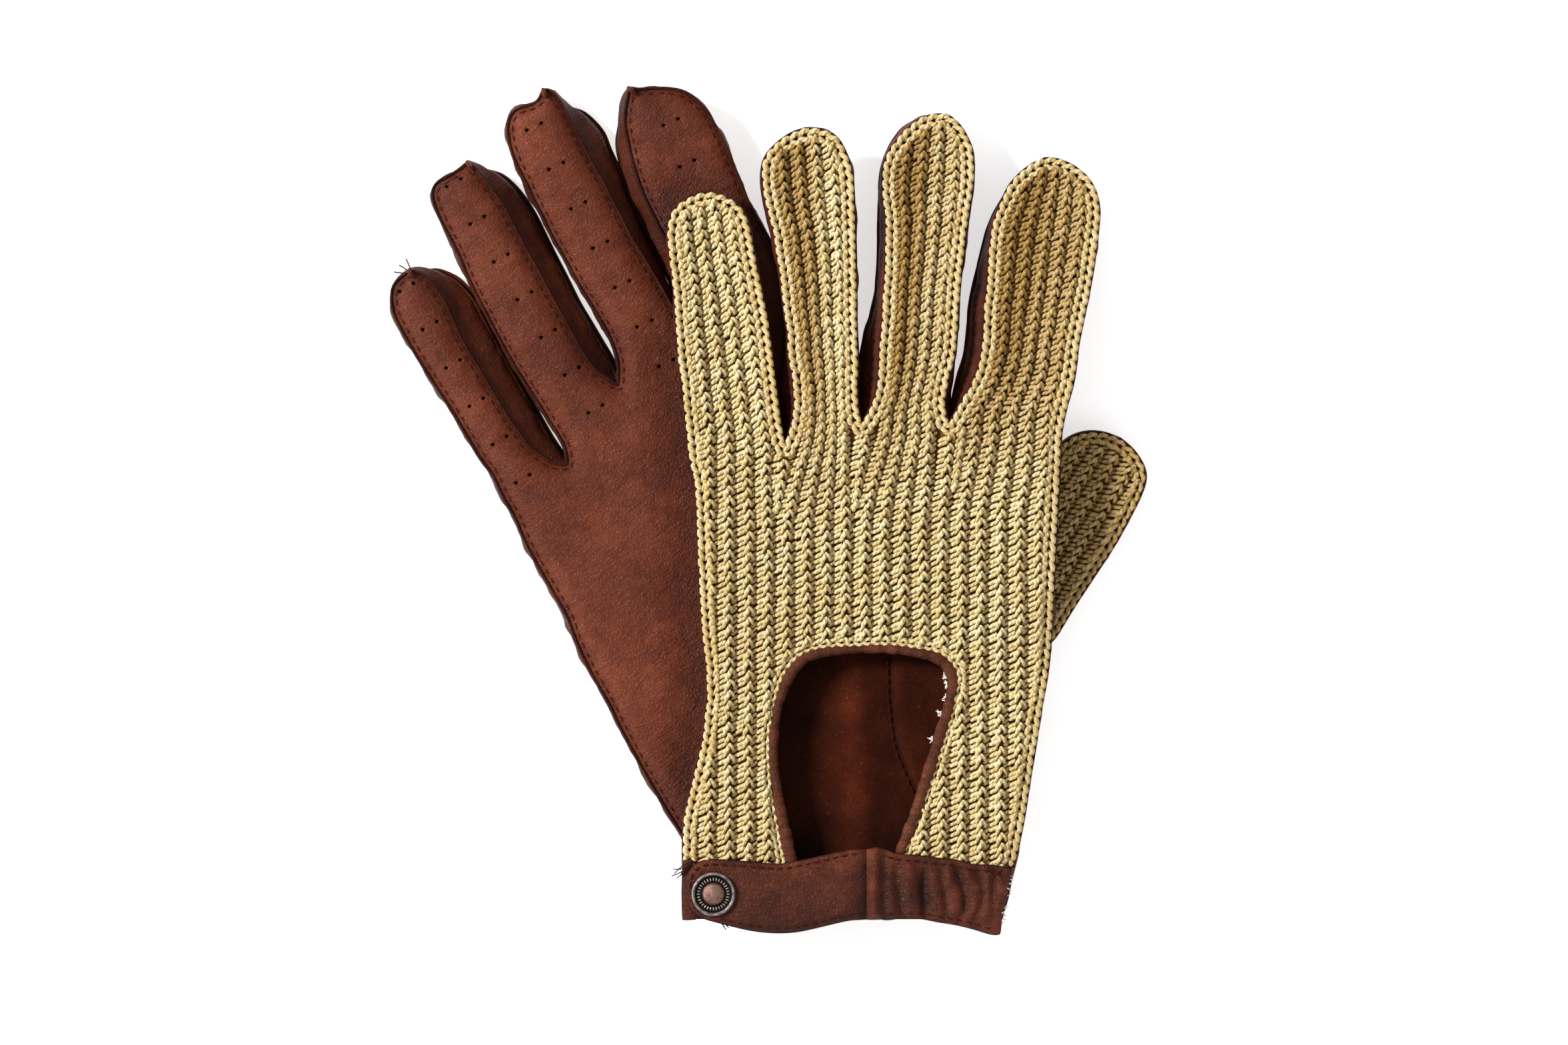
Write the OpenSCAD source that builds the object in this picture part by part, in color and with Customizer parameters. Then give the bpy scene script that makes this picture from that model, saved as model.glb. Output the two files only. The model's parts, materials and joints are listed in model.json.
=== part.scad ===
// A pair of driving gloves, lying flat: crocheted backs, leather palms, keyhole wrist with a snap strap.
// The right glove lies palm up on the table and the left glove lies back up on top of it.
// Each glove is drawn in its own frame: origin at the middle of the wrist edge, +Y to the fingers,
// +X to the thumb, and w (height) counted from the outer face of the palm leather to the outer face of the back.

/* [Leather and knit] */
// Thickness of the palm leather
leather_t = 1.2; // [0.8:0.1:1.4]
// Thickness of the crocheted back
knit_t = 2.8; // [2.2:0.1:3.2]
// Room between palm and back for the hand
hand_room = 7; // [6:0.5:9]
// Thickness of the side walls between the fingers
wall_t = 1.0; // [0.8:0.1:1.2]

/* [Hand] */
// Width added to the hand on the thumb side
hand_extra = 0; // [0:0.5:3]
// Height of the wrist band
cuff_h = 18; // [15:0.5:20]
// Length added to every finger
finger_extra = 0; // [-2:0.5:1]

/* [Snap fastener] */
// Diameter of the snap cap
snap_d = 12.5; // [11:0.5:13.5]
// Diameter of the stud head
stud_d = 5.8; // [5:0.1:6.4]
// Gap around the stud head in the socket
snap_gap = 0.15; // [0.1:0.05:0.3]

/* [Layout] */
// Turn of the right glove on the table, in degrees
right_turn = 28; // [26:0.5:30]
// Gap between the two gloves
stack_gap = 0.6; // [0.5:0.1:1]

/* [Hidden] */
$fn = 48;
H = leather_t + hand_room + knit_t;
left_at = [22.92, -117.16];
right_at = [24.72, -96.06];
axis_drop = 2.7;       // finger hinge line, below the upper face
hinge_gap = 3.2;       // free length at each finger hinge
left_cuff_lift = 1.6;  // the left wrist band stands a little proud
thumb_t = 9.5;
kw = H - knit_t;       // w of the inner face of the back

// Fingers: base x, base y, tip x, tip y, width at base, width at tip, hinge distance from base, droop in degrees
left_fingers = [
    [-32.3, 133.5, -40.6, 206.4, 26.5, 23.5, 26, 0],
    [-6.5, 137.0, -11.3, 225.0, 17.5, 24.0, 31, 0],
    [16.2, 140.0, 23.4, 231.3, 22.0, 25.0, 33, 10.5],
    [45.2, 139.3, 59.0, 218.3, 31.0, 30.0, 29, 12]
];
right_fingers = [
    [-32.3, 133.0, -35.2, 204.2, 21.0, 22.0, 26, 0],
    [-8.8, 139.0, -10.0, 223.0, 22.0, 24.2, 31, 0],
    [15.5, 146.0, 19.6, 230.6, 20.0, 25.0, 29, 0],
    [44.0, 141.0, 48.9, 218.2, 27.5, 28.5, 46, 0]
];
// Thumbs: pivot x, pivot y, direction from +Y in degrees, length, width, lowest w, start of the solid
left_thumb = [48.1, 87.2, 31, 58, 28, -(leather_t + hand_room + knit_t + stack_gap), 0];
right_thumb = [60.0, 74, 70, 41, 27, H - thumb_t, 8.5];

// Hand outline: pinky side going up, then knuckle line, then thumb side going down
left_pinky_side = [[-45.5, 0], [-46.8, 10], [-46.9, 18], [-46.2, 30], [-43.8, 40], [-41.5, 50], [-40.1, 62], [-40.8, 80],
    [-42.2, 100], [-43.8, 126]];
right_pinky_side = [[-41.6, 0], [-42, 18], [-43.2, 40], [-43.6, 60], [-43.5, 80], [-42.3, 98], [-42.3, 118], [-41.6, 130]];
thumb_side = [[59.6, 134], [58.8, 120], [57.8, 100], [57, 80], [55.8, 70], [54, 60], [52.4, 50], [50.8, 40], [49.2, 30],
    [46.8, 18], [45.2, 8], [43.3, 0]];
left_knuckles = [[-45.2, 134], [-18.5, 133], [3, 139.8], [28.3, 139.8], [59.8, 138]];
right_knuckles = [[-42, 134], [-20.8, 134.5], [2.3, 147], [29.2, 146], [59.2, 138]];

// Keyhole: inner edge of its leather binding, and the edge cut in the knit
key_in = [[-14.9, 17.9], [-17.3, 28], [-19.3, 38], [-20.1, 50], [-18.6, 61.7], [-14.2, 70.8], [-10.8, 73.7], [-4, 75.5], [9, 75.9],
    [20.3, 74.3], [25.6, 71.8], [27.8, 66], [26.8, 59.2], [22.5, 46.2], [18.1, 31.5], [13.4, 17.9]];
key_out = [[-18.6, 17.9], [-20.7, 28], [-22.6, 39], [-23.1, 50.5], [-21.2, 62.6], [-16.8, 73], [-12.5, 76.4], [-4, 78.2], [9.9, 78.6],
    [21, 77.4], [28, 74.8], [31.1, 69], [30.2, 62], [25.6, 46.8], [20.8, 32.4], [15.7, 17.9]];

leather_c = [0.42, 0.17, 0.09];
wall_c = [0.33, 0.12, 0.07];
knit_c = [0.83, 0.76, 0.52];
metal_c = [0.45, 0.38, 0.32];
tape_c = [0.12, 0.08, 0.07];

// ---- places ----
module left_place() { translate([left_at[0], left_at[1], H + stack_gap]) children(); }
module right_place() { translate([right_at[0], right_at[1], H]) rotate([0, 0, right_turn]) mirror([0, 0, 1]) children(); }

// ---- finger helpers ----
function f_len(f) = norm([f[2] - f[0], f[3] - f[1]]) + finger_extra;
function f_ang(f) = atan2(f[2] - f[0], f[3] - f[1]);
function hw(f, y) = (f[4] + (f[5] - f[4]) * min(1, max(0, y / (f_len(f) - f[5] / 2)))) / 2;

// Stands a shape on a finger: origin at the finger's base, +Y to its tip
module on_finger(f) { translate([f[0], f[1], 0]) rotate([0, 0, -f_ang(f)]) children(); }

// The same for what lies past the hinge, with the finger's droop about the hinge line; up is the way the upper face looks
module past_hinge(f, up) {
    aw = up > 0 ? H - axis_drop : axis_drop;
    on_finger(f) translate([0, f[6], aw]) rotate([-up * f[7], 0, 0]) translate([0, -f[6], -aw]) children();
}

// Outline of a finger from y0 to its round tip, i inside the true edge
function tip_pts(f, y0, i) = let (L = f_len(f), r = f[5] / 2) concat(
    [[hw(f, y0) - i, y0]],
    [for (a = [0:15:180]) [(r - i) * cos(a), L - r + (r - i) * sin(a)]],
    [[-(hw(f, y0) - i), y0]]);

// Outline of a finger stub from the hand to the hinge
function stub_pts(f, y0, y1) = [[hw(f, 0), y0], [hw(f, y1), y1], [-hw(f, y1), y1], [-hw(f, 0), y0]];

module slab(pts, w0, w1) { translate([0, 0, w0]) linear_extrude(w1 - w0) polygon(pts); }

// ---- hand ----
function widen(p) = p[0] > 30 ? [p[0] + hand_extra, p[1]] : p;
function hand_pts(side, kn) = concat(side, kn, [for (p = thumb_side) widen(p)]);

module hand_shape(fs, side, kn) {
    polygon(hand_pts(side, kn));
    for (f = fs) translate([f[0], f[1]]) rotate(-f_ang(f)) polygon(stub_pts(f, -7, f[6] - hinge_gap));
}

module palm_leather(fs, side, kn, hole) {
    color(leather_c) difference() {
        union() {
            slab(hand_pts(side, kn), 0, leather_t);
            for (f = fs) on_finger(f) slab(stub_pts(f, -7, f[6] - hinge_gap), 0, leather_t);
        }
        if (hole) translate([left_thumb[0], left_thumb[1], -1]) cylinder(h = leather_t + 2, r = 10);
    }
}

module crochet_back(fs, side, kn) {
    color(knit_c) translate([0, 0, kw]) linear_extrude(knit_t) difference() {
        hand_shape(fs, side, kn);
        translate([-60, -5]) square([130, 5.2 + cuff_h]);
        polygon([for (p = key_out) [p[0], p[1] < 18 ? 10 : p[1]]]);
    }
}

// A thin upright wall along a line of points, t thick to the inside
module wall_along(pts, t, w0, w1) {
    for (i = [0:len(pts) - 2])
        slab([pts[i], pts[i + 1], [pts[i + 1][0] + t, pts[i + 1][1]], [pts[i][0] + t, pts[i][1]]], w0, w1);
}

// Point of the thumb side at height y up the glove
function side_at(y) = [lookup(y, [for (p = thumb_side) [p[1], widen(p)[0]]]), y];

snap_w = 4.8;   // w under the snap's post

// Side walls of the hand; they stop under the snap and the wrist band, and leave a gap for the thumb from gap_lo to gap_hi
module palm_edge_wrap(side, kn, gap_lo, gap_hi, lift) {
    color(wall_c) {
        wall_along([for (p = side) if (p[1] <= 18) p], wall_t, leather_t, snap_w + lift);
        wall_along(concat([for (p = side) if (p[1] >= 18) p], [kn[0]]), wall_t, leather_t, kw);
        wall_along(concat([kn[4]], [for (p = thumb_side) if (p[1] > gap_hi) widen(p)], [side_at(gap_hi)]), -wall_t, leather_t, kw);
        wall_along(concat([side_at(gap_lo)], [for (p = thumb_side) if (p[1] < gap_lo && p[1] > 18) widen(p)], [side_at(18)]),
            -wall_t, leather_t, kw);
        wall_along([side_at(17.8), side_at(8), side_at(0)], -wall_t, leather_t, min(kw, cuff_w - 1.95 + lift));
    }
}

// Side strips of the finger stubs, s is -1 for the pinky side and 1 for the thumb side
module stub_wall(f, s, y0, y1) {
    on_finger(f) slab([[s * hw(f, y0), y0], [s * hw(f, y1), y1], [s * (hw(f, y1) - wall_t), y1], [s * (hw(f, y0) - wall_t), y0]], leather_t, kw);
}

module fourchettes(fs) {
    color(wall_c) {
        stub_wall(fs[0], -1, 2.5, fs[0][6] - hinge_gap);
        stub_wall(fs[0], 1, 2.5, fs[0][6] - hinge_gap);
        for (i = [1, 2]) for (s = [-1, 1]) stub_wall(fs[i], s, 3.5, fs[i][6] - hinge_gap);
        stub_wall(fs[3], -1, 4.5, fs[3][6] - hinge_gap);
        stub_wall(fs[3], 1, 2.5, fs[3][6] - hinge_gap);
    }
}

module keyhole_binding() {
    color(leather_c) difference() {
        slab(key_out, kw - 0.6, H);
        slab([for (p = key_in) [p[0], p[1] < 18 ? 10 : p[1]]], kw - 2, H + 1);
    }
}

// ---- wrist ----
cuff_w = 8.4;   // w of the underside of the band's outer layer

module cuff_band(lift) {
    // a folded leather pocket: outer layer, inner layer and the fold between them
    e = hand_extra;
    color(leather_c) translate([0, 0, lift]) difference() {
        slab([[7, 0.9], [20, 0.9], [30, -0.8], [40 + e, -3.3], [42.6 + e, -3.6], [45.4 + e, 14.5], [30, 17.2], [22, 17.7], [13, 17.8],
            [7, 19.6]], cuff_w - 1.9, cuff_w + 1.2);
        slab([[8.6, 2.9], [48 + e, -0.2], [48 + e, 12.2], [8.6, 15.3]], cuff_w - 1.1, cuff_w + 0.2);
    }
}

module cuff_elastic(lift) {
    e = hand_extra;
    color(tape_c) translate([0, 0, lift]) slab([[9, 3.3], [42.5 + e, 0.7], [43 + e, 11.7], [9, 14.9]], cuff_w - 0.95, cuff_w + 0.05);
}

snap_x = -38.5;
snap_y = 7.8;

module snap_tab(side, lift) {
    x0 = lookup(0.5, [for (p = side) [p[1], p[0]]]) + wall_t + 0.2;
    x1 = lookup(10, [for (p = side) [p[1], p[0]]]) + wall_t + 0.2;
    color(leather_c) translate([0, 0, lift]) difference() {
        slab([[x0, 0.5], [-15, 0.9], [-15, cuff_h - 0.5], [x1, cuff_h - 0.4], [x1, 10]], 5.5, 6.5);
        translate([snap_x, snap_y, 5]) cylinder(h = 2, r = 1.6);
    }
}

module palm_hem(side) {
    x0 = lookup(0.3, [for (p = side) [p[1], p[0]]]) + wall_t + 0.2;
    color(leather_c) slab([[x0, 0.3], [42 + hand_extra, 0.3], [44.4 + hand_extra, 12], [x0, 12]], leather_t, leather_t + 0.8);
}

module wrist_strap(lift) {
    color(leather_c) translate([0, 0, lift]) difference() {
        union() {
            slab([[6.4, 0.9], [6.4, 19.6], [0, 19.3], [-10, 17.3], [-20, 15.6], [-30, 15.9], [snap_x, snap_y + 7.8],
                [snap_x, snap_y - 7.8], [-30, -1.6], [-20, -2.9], [-10, -1.7], [0, 0.5]], 8.5, 9.5);
            translate([snap_x, snap_y, 8.5]) cylinder(h = 1, r = 7.8);
        }
        translate([snap_x, snap_y, 8]) cylinder(h = 2, r = 1.9);
    }
}

// Domed cap with a raised rim and a round boss, and the shank that is set in the socket
module snap_cap(lift) {
    r = snap_d / 2;
    color(metal_c) translate([snap_x, snap_y, lift]) rotate_extrude()
        polygon([[0, 8.5], [1.7, 8.5], [1.7, 9.5], [r - 0.3, 9.5], [r, 9.8], [r, 10.5], [r - 0.5, 11], [r - 1.1, 10.9], [r - 1.5, 10.4],
            [r - 2.6, 10.4], [r - 3.2, 10.8], [0, 11]]);
}

module snap_socket(lift) {
    color(metal_c) translate([snap_x, snap_y, lift]) difference() {
        translate([0, 0, 7.0]) cylinder(h = 1.5, r = 5.2);
        translate([0, 0, 6.5]) cylinder(h = 1.8, r = stud_d / 2 + snap_gap);
    }
}

module snap_stud(lift) {
    color(metal_c) translate([snap_x, snap_y, lift]) {
        translate([0, 0, 6.5]) cylinder(h = 0.45, r = 4.7);
        translate([0, 0, 6.9]) cylinder(h = 1.2, r = stud_d / 2);
    }
}

module snap_post(lift) {
    color(metal_c) translate([snap_x, snap_y, lift]) {
        translate([0, 0, 4.9]) cylinder(h = 0.6, r = 4.7);
        translate([0, 0, 5.4]) cylinder(h = 1.1, r = 1.5);
    }
}

// ---- fingers past the hinge ----
module finger_front(f, up) { color(leather_c) past_hinge(f, up) slab(tip_pts(f, f[6], 0), 0, leather_t); }
module finger_back(f, up) { color(knit_c) past_hinge(f, up) slab(tip_pts(f, f[6], 0), kw, H); }

// Two side strips and the closed tip
module finger_fourchettes(f, up) {
    L = f_len(f);
    r = f[5] / 2;
    color(wall_c) past_hinge(f, up) {
        for (s = [-1, 1]) slab([[s * hw(f, f[6]), f[6]], [s * r, L - r], [s * (r - wall_t), L - r], [s * (hw(f, f[6]) - wall_t), f[6]]], leather_t, kw);
        slab(concat([for (a = [0:15:180]) [r * cos(a), L - r + r * sin(a)]],
            [for (a = [180:-15:0]) [(r - wall_t) * cos(a), L - r + (r - wall_t) * sin(a)]]), leather_t, kw);
    }
}

// ---- thumbs ----
module on_thumb(t) { translate([t[0], t[1], t[5]]) rotate([0, 0, -t[2]]) children(); }

// Outline of a thumb; a start of 0 gives a round base about the pivot
function thumb_pts(t, i) = let (r = t[4] / 2, rb = r - 1.2) concat(
    [for (a = [0:15:180]) [(r - i) * cos(a), t[3] - r + (r - i) * sin(a)]],
    t[6] > 0 ? [[-(r - i), t[6]], [r - i, t[6]]] : [for (a = [180:15:360]) [(rb - i) * cos(a), (rb - i) * sin(a)]]);

module thumb_leather(t) { color(leather_c) on_thumb(t) slab(thumb_pts(t, 0), 0, leather_t); }

module thumb_back(t, hole) {
    color(knit_c) difference() {
        on_thumb(t) slab(thumb_pts(t, 0), thumb_t - knit_t, thumb_t);
        if (hole) translate([t[0], t[1], t[5] + thumb_t - knit_t - 1]) cylinder(h = knit_t + 2, r = 9.5);
    }
}

// The thumb's side wall belongs to its leather, so it is drawn with it
module thumb_wall(t) {
    color(leather_c) on_thumb(t) difference() {
        slab(thumb_pts(t, 0), leather_t, thumb_t - knit_t);
        if (t[6] > 0) slab([for (p = thumb_pts(t, wall_t)) [p[0], p[1] == t[6] ? p[1] - 3 : p[1]]], leather_t - 1, thumb_t);
        else slab(thumb_pts(t, wall_t), leather_t - 1, thumb_t);
    }
}

module left_thumb_gusset() {
    color(wall_c) translate([left_thumb[0], left_thumb[1], -1.6]) difference() {
        cylinder(h = 1.6, r = 12);
        translate([0, 0, -1]) cylinder(h = 4, r = 10);
    }
}

module right_thumb_gusset() {
    color(wall_c) slab([[54.6, 60.5], [62, 61.5], [69, 66], [72, 74], [70, 82], [63, 88], [58, 89], [57.4, 80.5], [56.3, 70.5]], 0, 1.0);
}

// ---- right glove, palm up ----
right_place() palm_leather(right_fingers, right_pinky_side, right_knuckles, false);  // right_palm_leather
right_place() crochet_back(right_fingers, right_pinky_side, right_knuckles);  // right_crochet_back
right_place() palm_edge_wrap(right_pinky_side, right_knuckles, 64, 90, 0);  // right_palm_edge_wrap
right_place() fourchettes(right_fingers);  // right_fourchettes
right_place() keyhole_binding();  // right_keyhole_binding
right_place() cuff_band(0);  // right_cuff_band
right_place() cuff_elastic(0);  // right_cuff_elastic
right_place() snap_tab(right_pinky_side, 0);  // right_snap_tab
right_place() palm_hem(right_pinky_side);  // right_palm_hem
right_place() right_thumb_gusset();
right_place() snap_stud(0);  // right_snap_stud
right_place() snap_post(0);  // right_snap_post
right_place() wrist_strap(0);  // right_wrist_strap
right_place() snap_cap(0);  // right_snap_cap
right_place() snap_socket(0);  // right_snap_socket
right_place() finger_front(right_fingers[0], -1);  // right_pinky_front
right_place() finger_back(right_fingers[0], -1);  // right_pinky_back
right_place() finger_fourchettes(right_fingers[0], -1);  // right_pinky_fourchettes
right_place() finger_front(right_fingers[1], -1);  // right_ring_front
right_place() finger_back(right_fingers[1], -1);  // right_ring_back
right_place() finger_fourchettes(right_fingers[1], -1);  // right_ring_fourchettes
right_place() finger_front(right_fingers[2], -1);  // right_middle_front
right_place() finger_back(right_fingers[2], -1);  // right_middle_back
right_place() finger_fourchettes(right_fingers[2], -1);  // right_middle_fourchettes
right_place() finger_front(right_fingers[3], -1);  // right_index_front
right_place() finger_back(right_fingers[3], -1);  // right_index_back
right_place() finger_fourchettes(right_fingers[3], -1);  // right_index_fourchettes
right_place() { thumb_leather(right_thumb); thumb_wall(right_thumb); }  // right_thumb_leather
right_place() thumb_back(right_thumb, false);  // right_thumb_back

// ---- left glove, back up ----
left_place() palm_leather(left_fingers, left_pinky_side, left_knuckles, true);  // left_palm_leather
left_place() crochet_back(left_fingers, left_pinky_side, left_knuckles);  // left_crochet_back
left_place() palm_edge_wrap(left_pinky_side, left_knuckles, 77, 77.2, left_cuff_lift);  // left_palm_edge_wrap
left_place() fourchettes(left_fingers);  // left_fourchettes
left_place() keyhole_binding();  // left_keyhole_binding
left_place() cuff_band(left_cuff_lift);  // left_cuff_band
left_place() cuff_elastic(left_cuff_lift);  // left_cuff_elastic
left_place() snap_tab(left_pinky_side, left_cuff_lift);  // left_snap_tab
left_place() palm_hem(left_pinky_side);  // left_palm_hem
left_place() left_thumb_gusset();
left_place() snap_stud(left_cuff_lift);  // left_snap_stud
left_place() snap_post(left_cuff_lift);  // left_snap_post
left_place() wrist_strap(left_cuff_lift);  // left_wrist_strap
left_place() snap_cap(left_cuff_lift);  // left_snap_cap
left_place() snap_socket(left_cuff_lift);  // left_snap_socket
left_place() finger_front(left_fingers[0], 1);  // left_pinky_front
left_place() finger_back(left_fingers[0], 1);  // left_pinky_back
left_place() finger_fourchettes(left_fingers[0], 1);  // left_pinky_fourchettes
left_place() finger_front(left_fingers[1], 1);  // left_ring_front
left_place() finger_back(left_fingers[1], 1);  // left_ring_back
left_place() finger_fourchettes(left_fingers[1], 1);  // left_ring_fourchettes
left_place() finger_front(left_fingers[2], 1);  // left_middle_front
left_place() finger_back(left_fingers[2], 1);  // left_middle_back
left_place() finger_fourchettes(left_fingers[2], 1);  // left_middle_fourchettes
left_place() finger_front(left_fingers[3], 1);  // left_index_front
left_place() finger_back(left_fingers[3], 1);  // left_index_back
left_place() finger_fourchettes(left_fingers[3], 1);  // left_index_fourchettes
left_place() { thumb_leather(left_thumb); thumb_wall(left_thumb); }  // left_thumb_leather
left_place() thumb_back(left_thumb, true);  // left_thumb_back
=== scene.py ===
import json
import math

import bpy
import numpy as np
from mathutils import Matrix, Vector
from mathutils.geometry import delaunay_2d_cdt


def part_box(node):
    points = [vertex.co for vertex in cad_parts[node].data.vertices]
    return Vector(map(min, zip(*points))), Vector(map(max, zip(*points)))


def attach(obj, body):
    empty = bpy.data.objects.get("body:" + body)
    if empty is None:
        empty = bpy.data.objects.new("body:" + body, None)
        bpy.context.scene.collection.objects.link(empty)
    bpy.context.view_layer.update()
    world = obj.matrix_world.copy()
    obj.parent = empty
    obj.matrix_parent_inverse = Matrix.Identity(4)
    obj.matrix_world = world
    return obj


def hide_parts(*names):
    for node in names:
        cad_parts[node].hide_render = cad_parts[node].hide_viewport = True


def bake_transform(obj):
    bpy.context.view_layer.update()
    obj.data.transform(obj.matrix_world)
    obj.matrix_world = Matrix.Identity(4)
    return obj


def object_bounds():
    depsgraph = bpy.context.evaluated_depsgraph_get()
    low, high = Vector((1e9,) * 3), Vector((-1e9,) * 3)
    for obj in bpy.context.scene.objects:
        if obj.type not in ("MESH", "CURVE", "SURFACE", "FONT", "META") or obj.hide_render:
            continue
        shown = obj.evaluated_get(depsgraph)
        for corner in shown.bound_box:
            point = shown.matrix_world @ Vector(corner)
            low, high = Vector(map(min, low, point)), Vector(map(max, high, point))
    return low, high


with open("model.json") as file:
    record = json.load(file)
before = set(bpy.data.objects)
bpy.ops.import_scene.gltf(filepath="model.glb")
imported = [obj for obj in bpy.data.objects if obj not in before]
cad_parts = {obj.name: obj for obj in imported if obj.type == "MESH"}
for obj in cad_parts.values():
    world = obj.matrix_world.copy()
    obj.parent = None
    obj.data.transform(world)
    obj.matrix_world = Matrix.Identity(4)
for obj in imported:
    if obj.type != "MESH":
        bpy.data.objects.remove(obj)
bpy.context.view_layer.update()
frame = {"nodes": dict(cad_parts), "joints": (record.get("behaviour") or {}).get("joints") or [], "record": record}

REC = frame["record"]
MOUNT = {m["name"]: m for m in REC["mounts"]}
JOINT = {j["name"]: j for j in frame["joints"]}
scene = bpy.context.scene
H = 11.0          # thickness of a glove as it lies, mm
AXIS_DROP = 2.7   # depth of the finger hinges under the knit

# ------------------------------------------------------------------ camera, floor, light
lo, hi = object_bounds()
mid = (lo + hi) / 2
cam_data = bpy.data.cameras.new("camera")
cam = bpy.data.objects.new("camera", cam_data)
scene.collection.objects.link(cam)
cam.location = (mid.x + 0.0044, mid.y - 0.0041, 1.215)
cam.rotation_euler = (0, 0, 0)
cam_data.sensor_width = 36
cam_data.lens = 96.6
cam_data.dof.use_dof = False
cam_data.clip_start, cam_data.clip_end = 0.01, 20
scene.camera = cam
scene.view_settings.view_transform = "Standard"
scene.view_settings.look = "None"


def nodes_of(m):
    m.use_nodes = True
    t = m.node_tree
    t.nodes.clear()
    return t


class N:
    """Small helper that builds a node tree."""

    def __init__(self, name):
        self.m = bpy.data.materials.new(name)
        self.t = nodes_of(self.m)
        self.out = self.t.nodes.new("ShaderNodeOutputMaterial")

    def add(self, kind, ins=None, **props):
        n = self.t.nodes.new("ShaderNode" + kind)
        for k, v in props.items():
            setattr(n, k, v)
        for k, v in (ins or {}).items():
            s = n.inputs[k]
            if isinstance(v, bpy.types.NodeSocket):
                self.t.links.new(v, s)
            else:
                s.default_value = v
        return n

    def attr(self, name):
        return self.add("Attribute", attribute_name=name)

    def noise(self, vec, scale, detail=2.0, rough=0.5, dist=0.0, stretch=None):
        if stretch:
            vec = self.add("Mapping", {"Vector": vec, "Scale": stretch}).outputs[0]
        return self.add("TexNoise", {"Vector": vec, "Scale": scale, "Detail": detail, "Roughness": rough, "Distortion": dist}).outputs[0]

    def voronoi(self, vec, scale, feature="F1", rnd=1.0):
        return self.add("TexVoronoi", {"Vector": vec, "Scale": scale, "Randomness": rnd}, feature=feature).outputs["Distance"]

    def math(self, op, a, b=0.0, c=0.0):
        n = self.add("Math", operation=op)
        for i, v in enumerate((a, b, c)):
            if isinstance(v, bpy.types.NodeSocket):
                self.t.links.new(v, n.inputs[i])
            else:
                n.inputs[i].default_value = v
        return n.outputs[0]

    def ramp(self, fac, stops):
        n = self.add("ValToRGB", {"Fac": fac})
        e = n.color_ramp.elements
        while len(e) < len(stops):
            e.new(0.5)
        for el, (p, c) in zip(e, stops):
            el.position = p
            el.color = (*c, 1) if len(c) == 3 else c
        return n.outputs[0]

    def remap(self, v, a, b, c, d):
        return self.add("MapRange", {"Value": v, "From Min": a, "From Max": b, "To Min": c, "To Max": d}).outputs[0]

    def mix(self, fac, a, b, kind="MIX"):
        n = self.add("MixRGB", blend_type=kind)
        for i, v in ((0, fac), (1, a), (2, b)):
            if isinstance(v, bpy.types.NodeSocket):
                self.t.links.new(v, n.inputs[i])
            else:
                n.inputs[i].default_value = (*v, 1) if isinstance(v, tuple) and len(v) == 3 else v
        return n.outputs[0]

    def bump(self, height, dist, strength=1.0, normal=None):
        ins = {"Height": height, "Distance": dist, "Strength": strength}
        if normal is not None:
            ins["Normal"] = normal
        return self.add("Bump", ins).outputs[0]

    def finish(self, **ins):
        b = self.add("BsdfPrincipled", {k.replace("_", " "): v for k, v in ins.items()})
        self.t.links.new(b.outputs[0], self.out.inputs[0])
        return self.m


def srgb(r, g, b):
    return tuple((c / 255 / 12.92) if c / 255 <= 0.04045 else ((c / 255 + 0.055) / 1.055) ** 2.4 for c in (r, g, b))


# floor
fm = N("stage_floor")
tc = fm.add("TexCoord")
fn = fm.noise(tc.outputs["Object"], 3.0, 2.0)
fcol = fm.ramp(fn, [(0.3, (0.93, 0.93, 0.925)), (0.7, (0.96, 0.96, 0.955))])
floor_mat = fm.finish(Base_Color=fcol, Roughness=0.8, Emission_Color=(1, 1, 1, 1), Emission_Strength=0.6)
me = bpy.data.meshes.new("floor")
me.from_pydata([(-4, -4, -0.0004), (4, -4, -0.0004), (4, 4, -0.0004), (-4, 4, -0.0004)], [], [(0, 1, 2, 3)])
floor = bpy.data.objects.new("floor", me)
scene.collection.objects.link(floor)
me.materials.append(floor_mat)

world = bpy.data.worlds.new("studio")
scene.world = world
world.use_nodes = True
wt = world.node_tree
wb = wt.nodes["Background"]
wc = wt.nodes.new("ShaderNodeTexCoord")
wx = wt.nodes.new("ShaderNodeSeparateXYZ")
wr_ = wt.nodes.new("ShaderNodeMapRange")
wt.links.new(wc.outputs["Generated"], wx.inputs[0])
wt.links.new(wx.outputs[2], wr_.inputs["Value"])
wr_.inputs["From Min"].default_value = 0.25
wr_.inputs["From Max"].default_value = 0.95
wr_.inputs["To Min"].default_value = 0.72
wr_.inputs["To Max"].default_value = 0.36
wt.links.new(wr_.outputs[0], wb.inputs[1])
wb.inputs[0].default_value = (1, 1, 1, 1)


def area(name, loc, size, power, color=(1, 1, 1)):
    l = bpy.data.lights.new(name, "AREA")
    l.shape = "DISK"
    l.size = size
    l.energy = power
    l.color = color
    o = bpy.data.objects.new(name, l)
    scene.collection.objects.link(o)
    o.location = loc
    o.rotation_euler = (Vector((0, 0, 0.01)) - Vector(loc)).to_track_quat("-Z", "Y").to_euler()
    return o


area("key", (-1.30, 0.50, 1.05), 0.40, 46)
area("fill", (0.9, -0.9, 1.3), 1.2, 4)


# ------------------------------------------------------------------ number helpers
def A2(p):
    return np.array(p, float).reshape(-1, 2)


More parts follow.
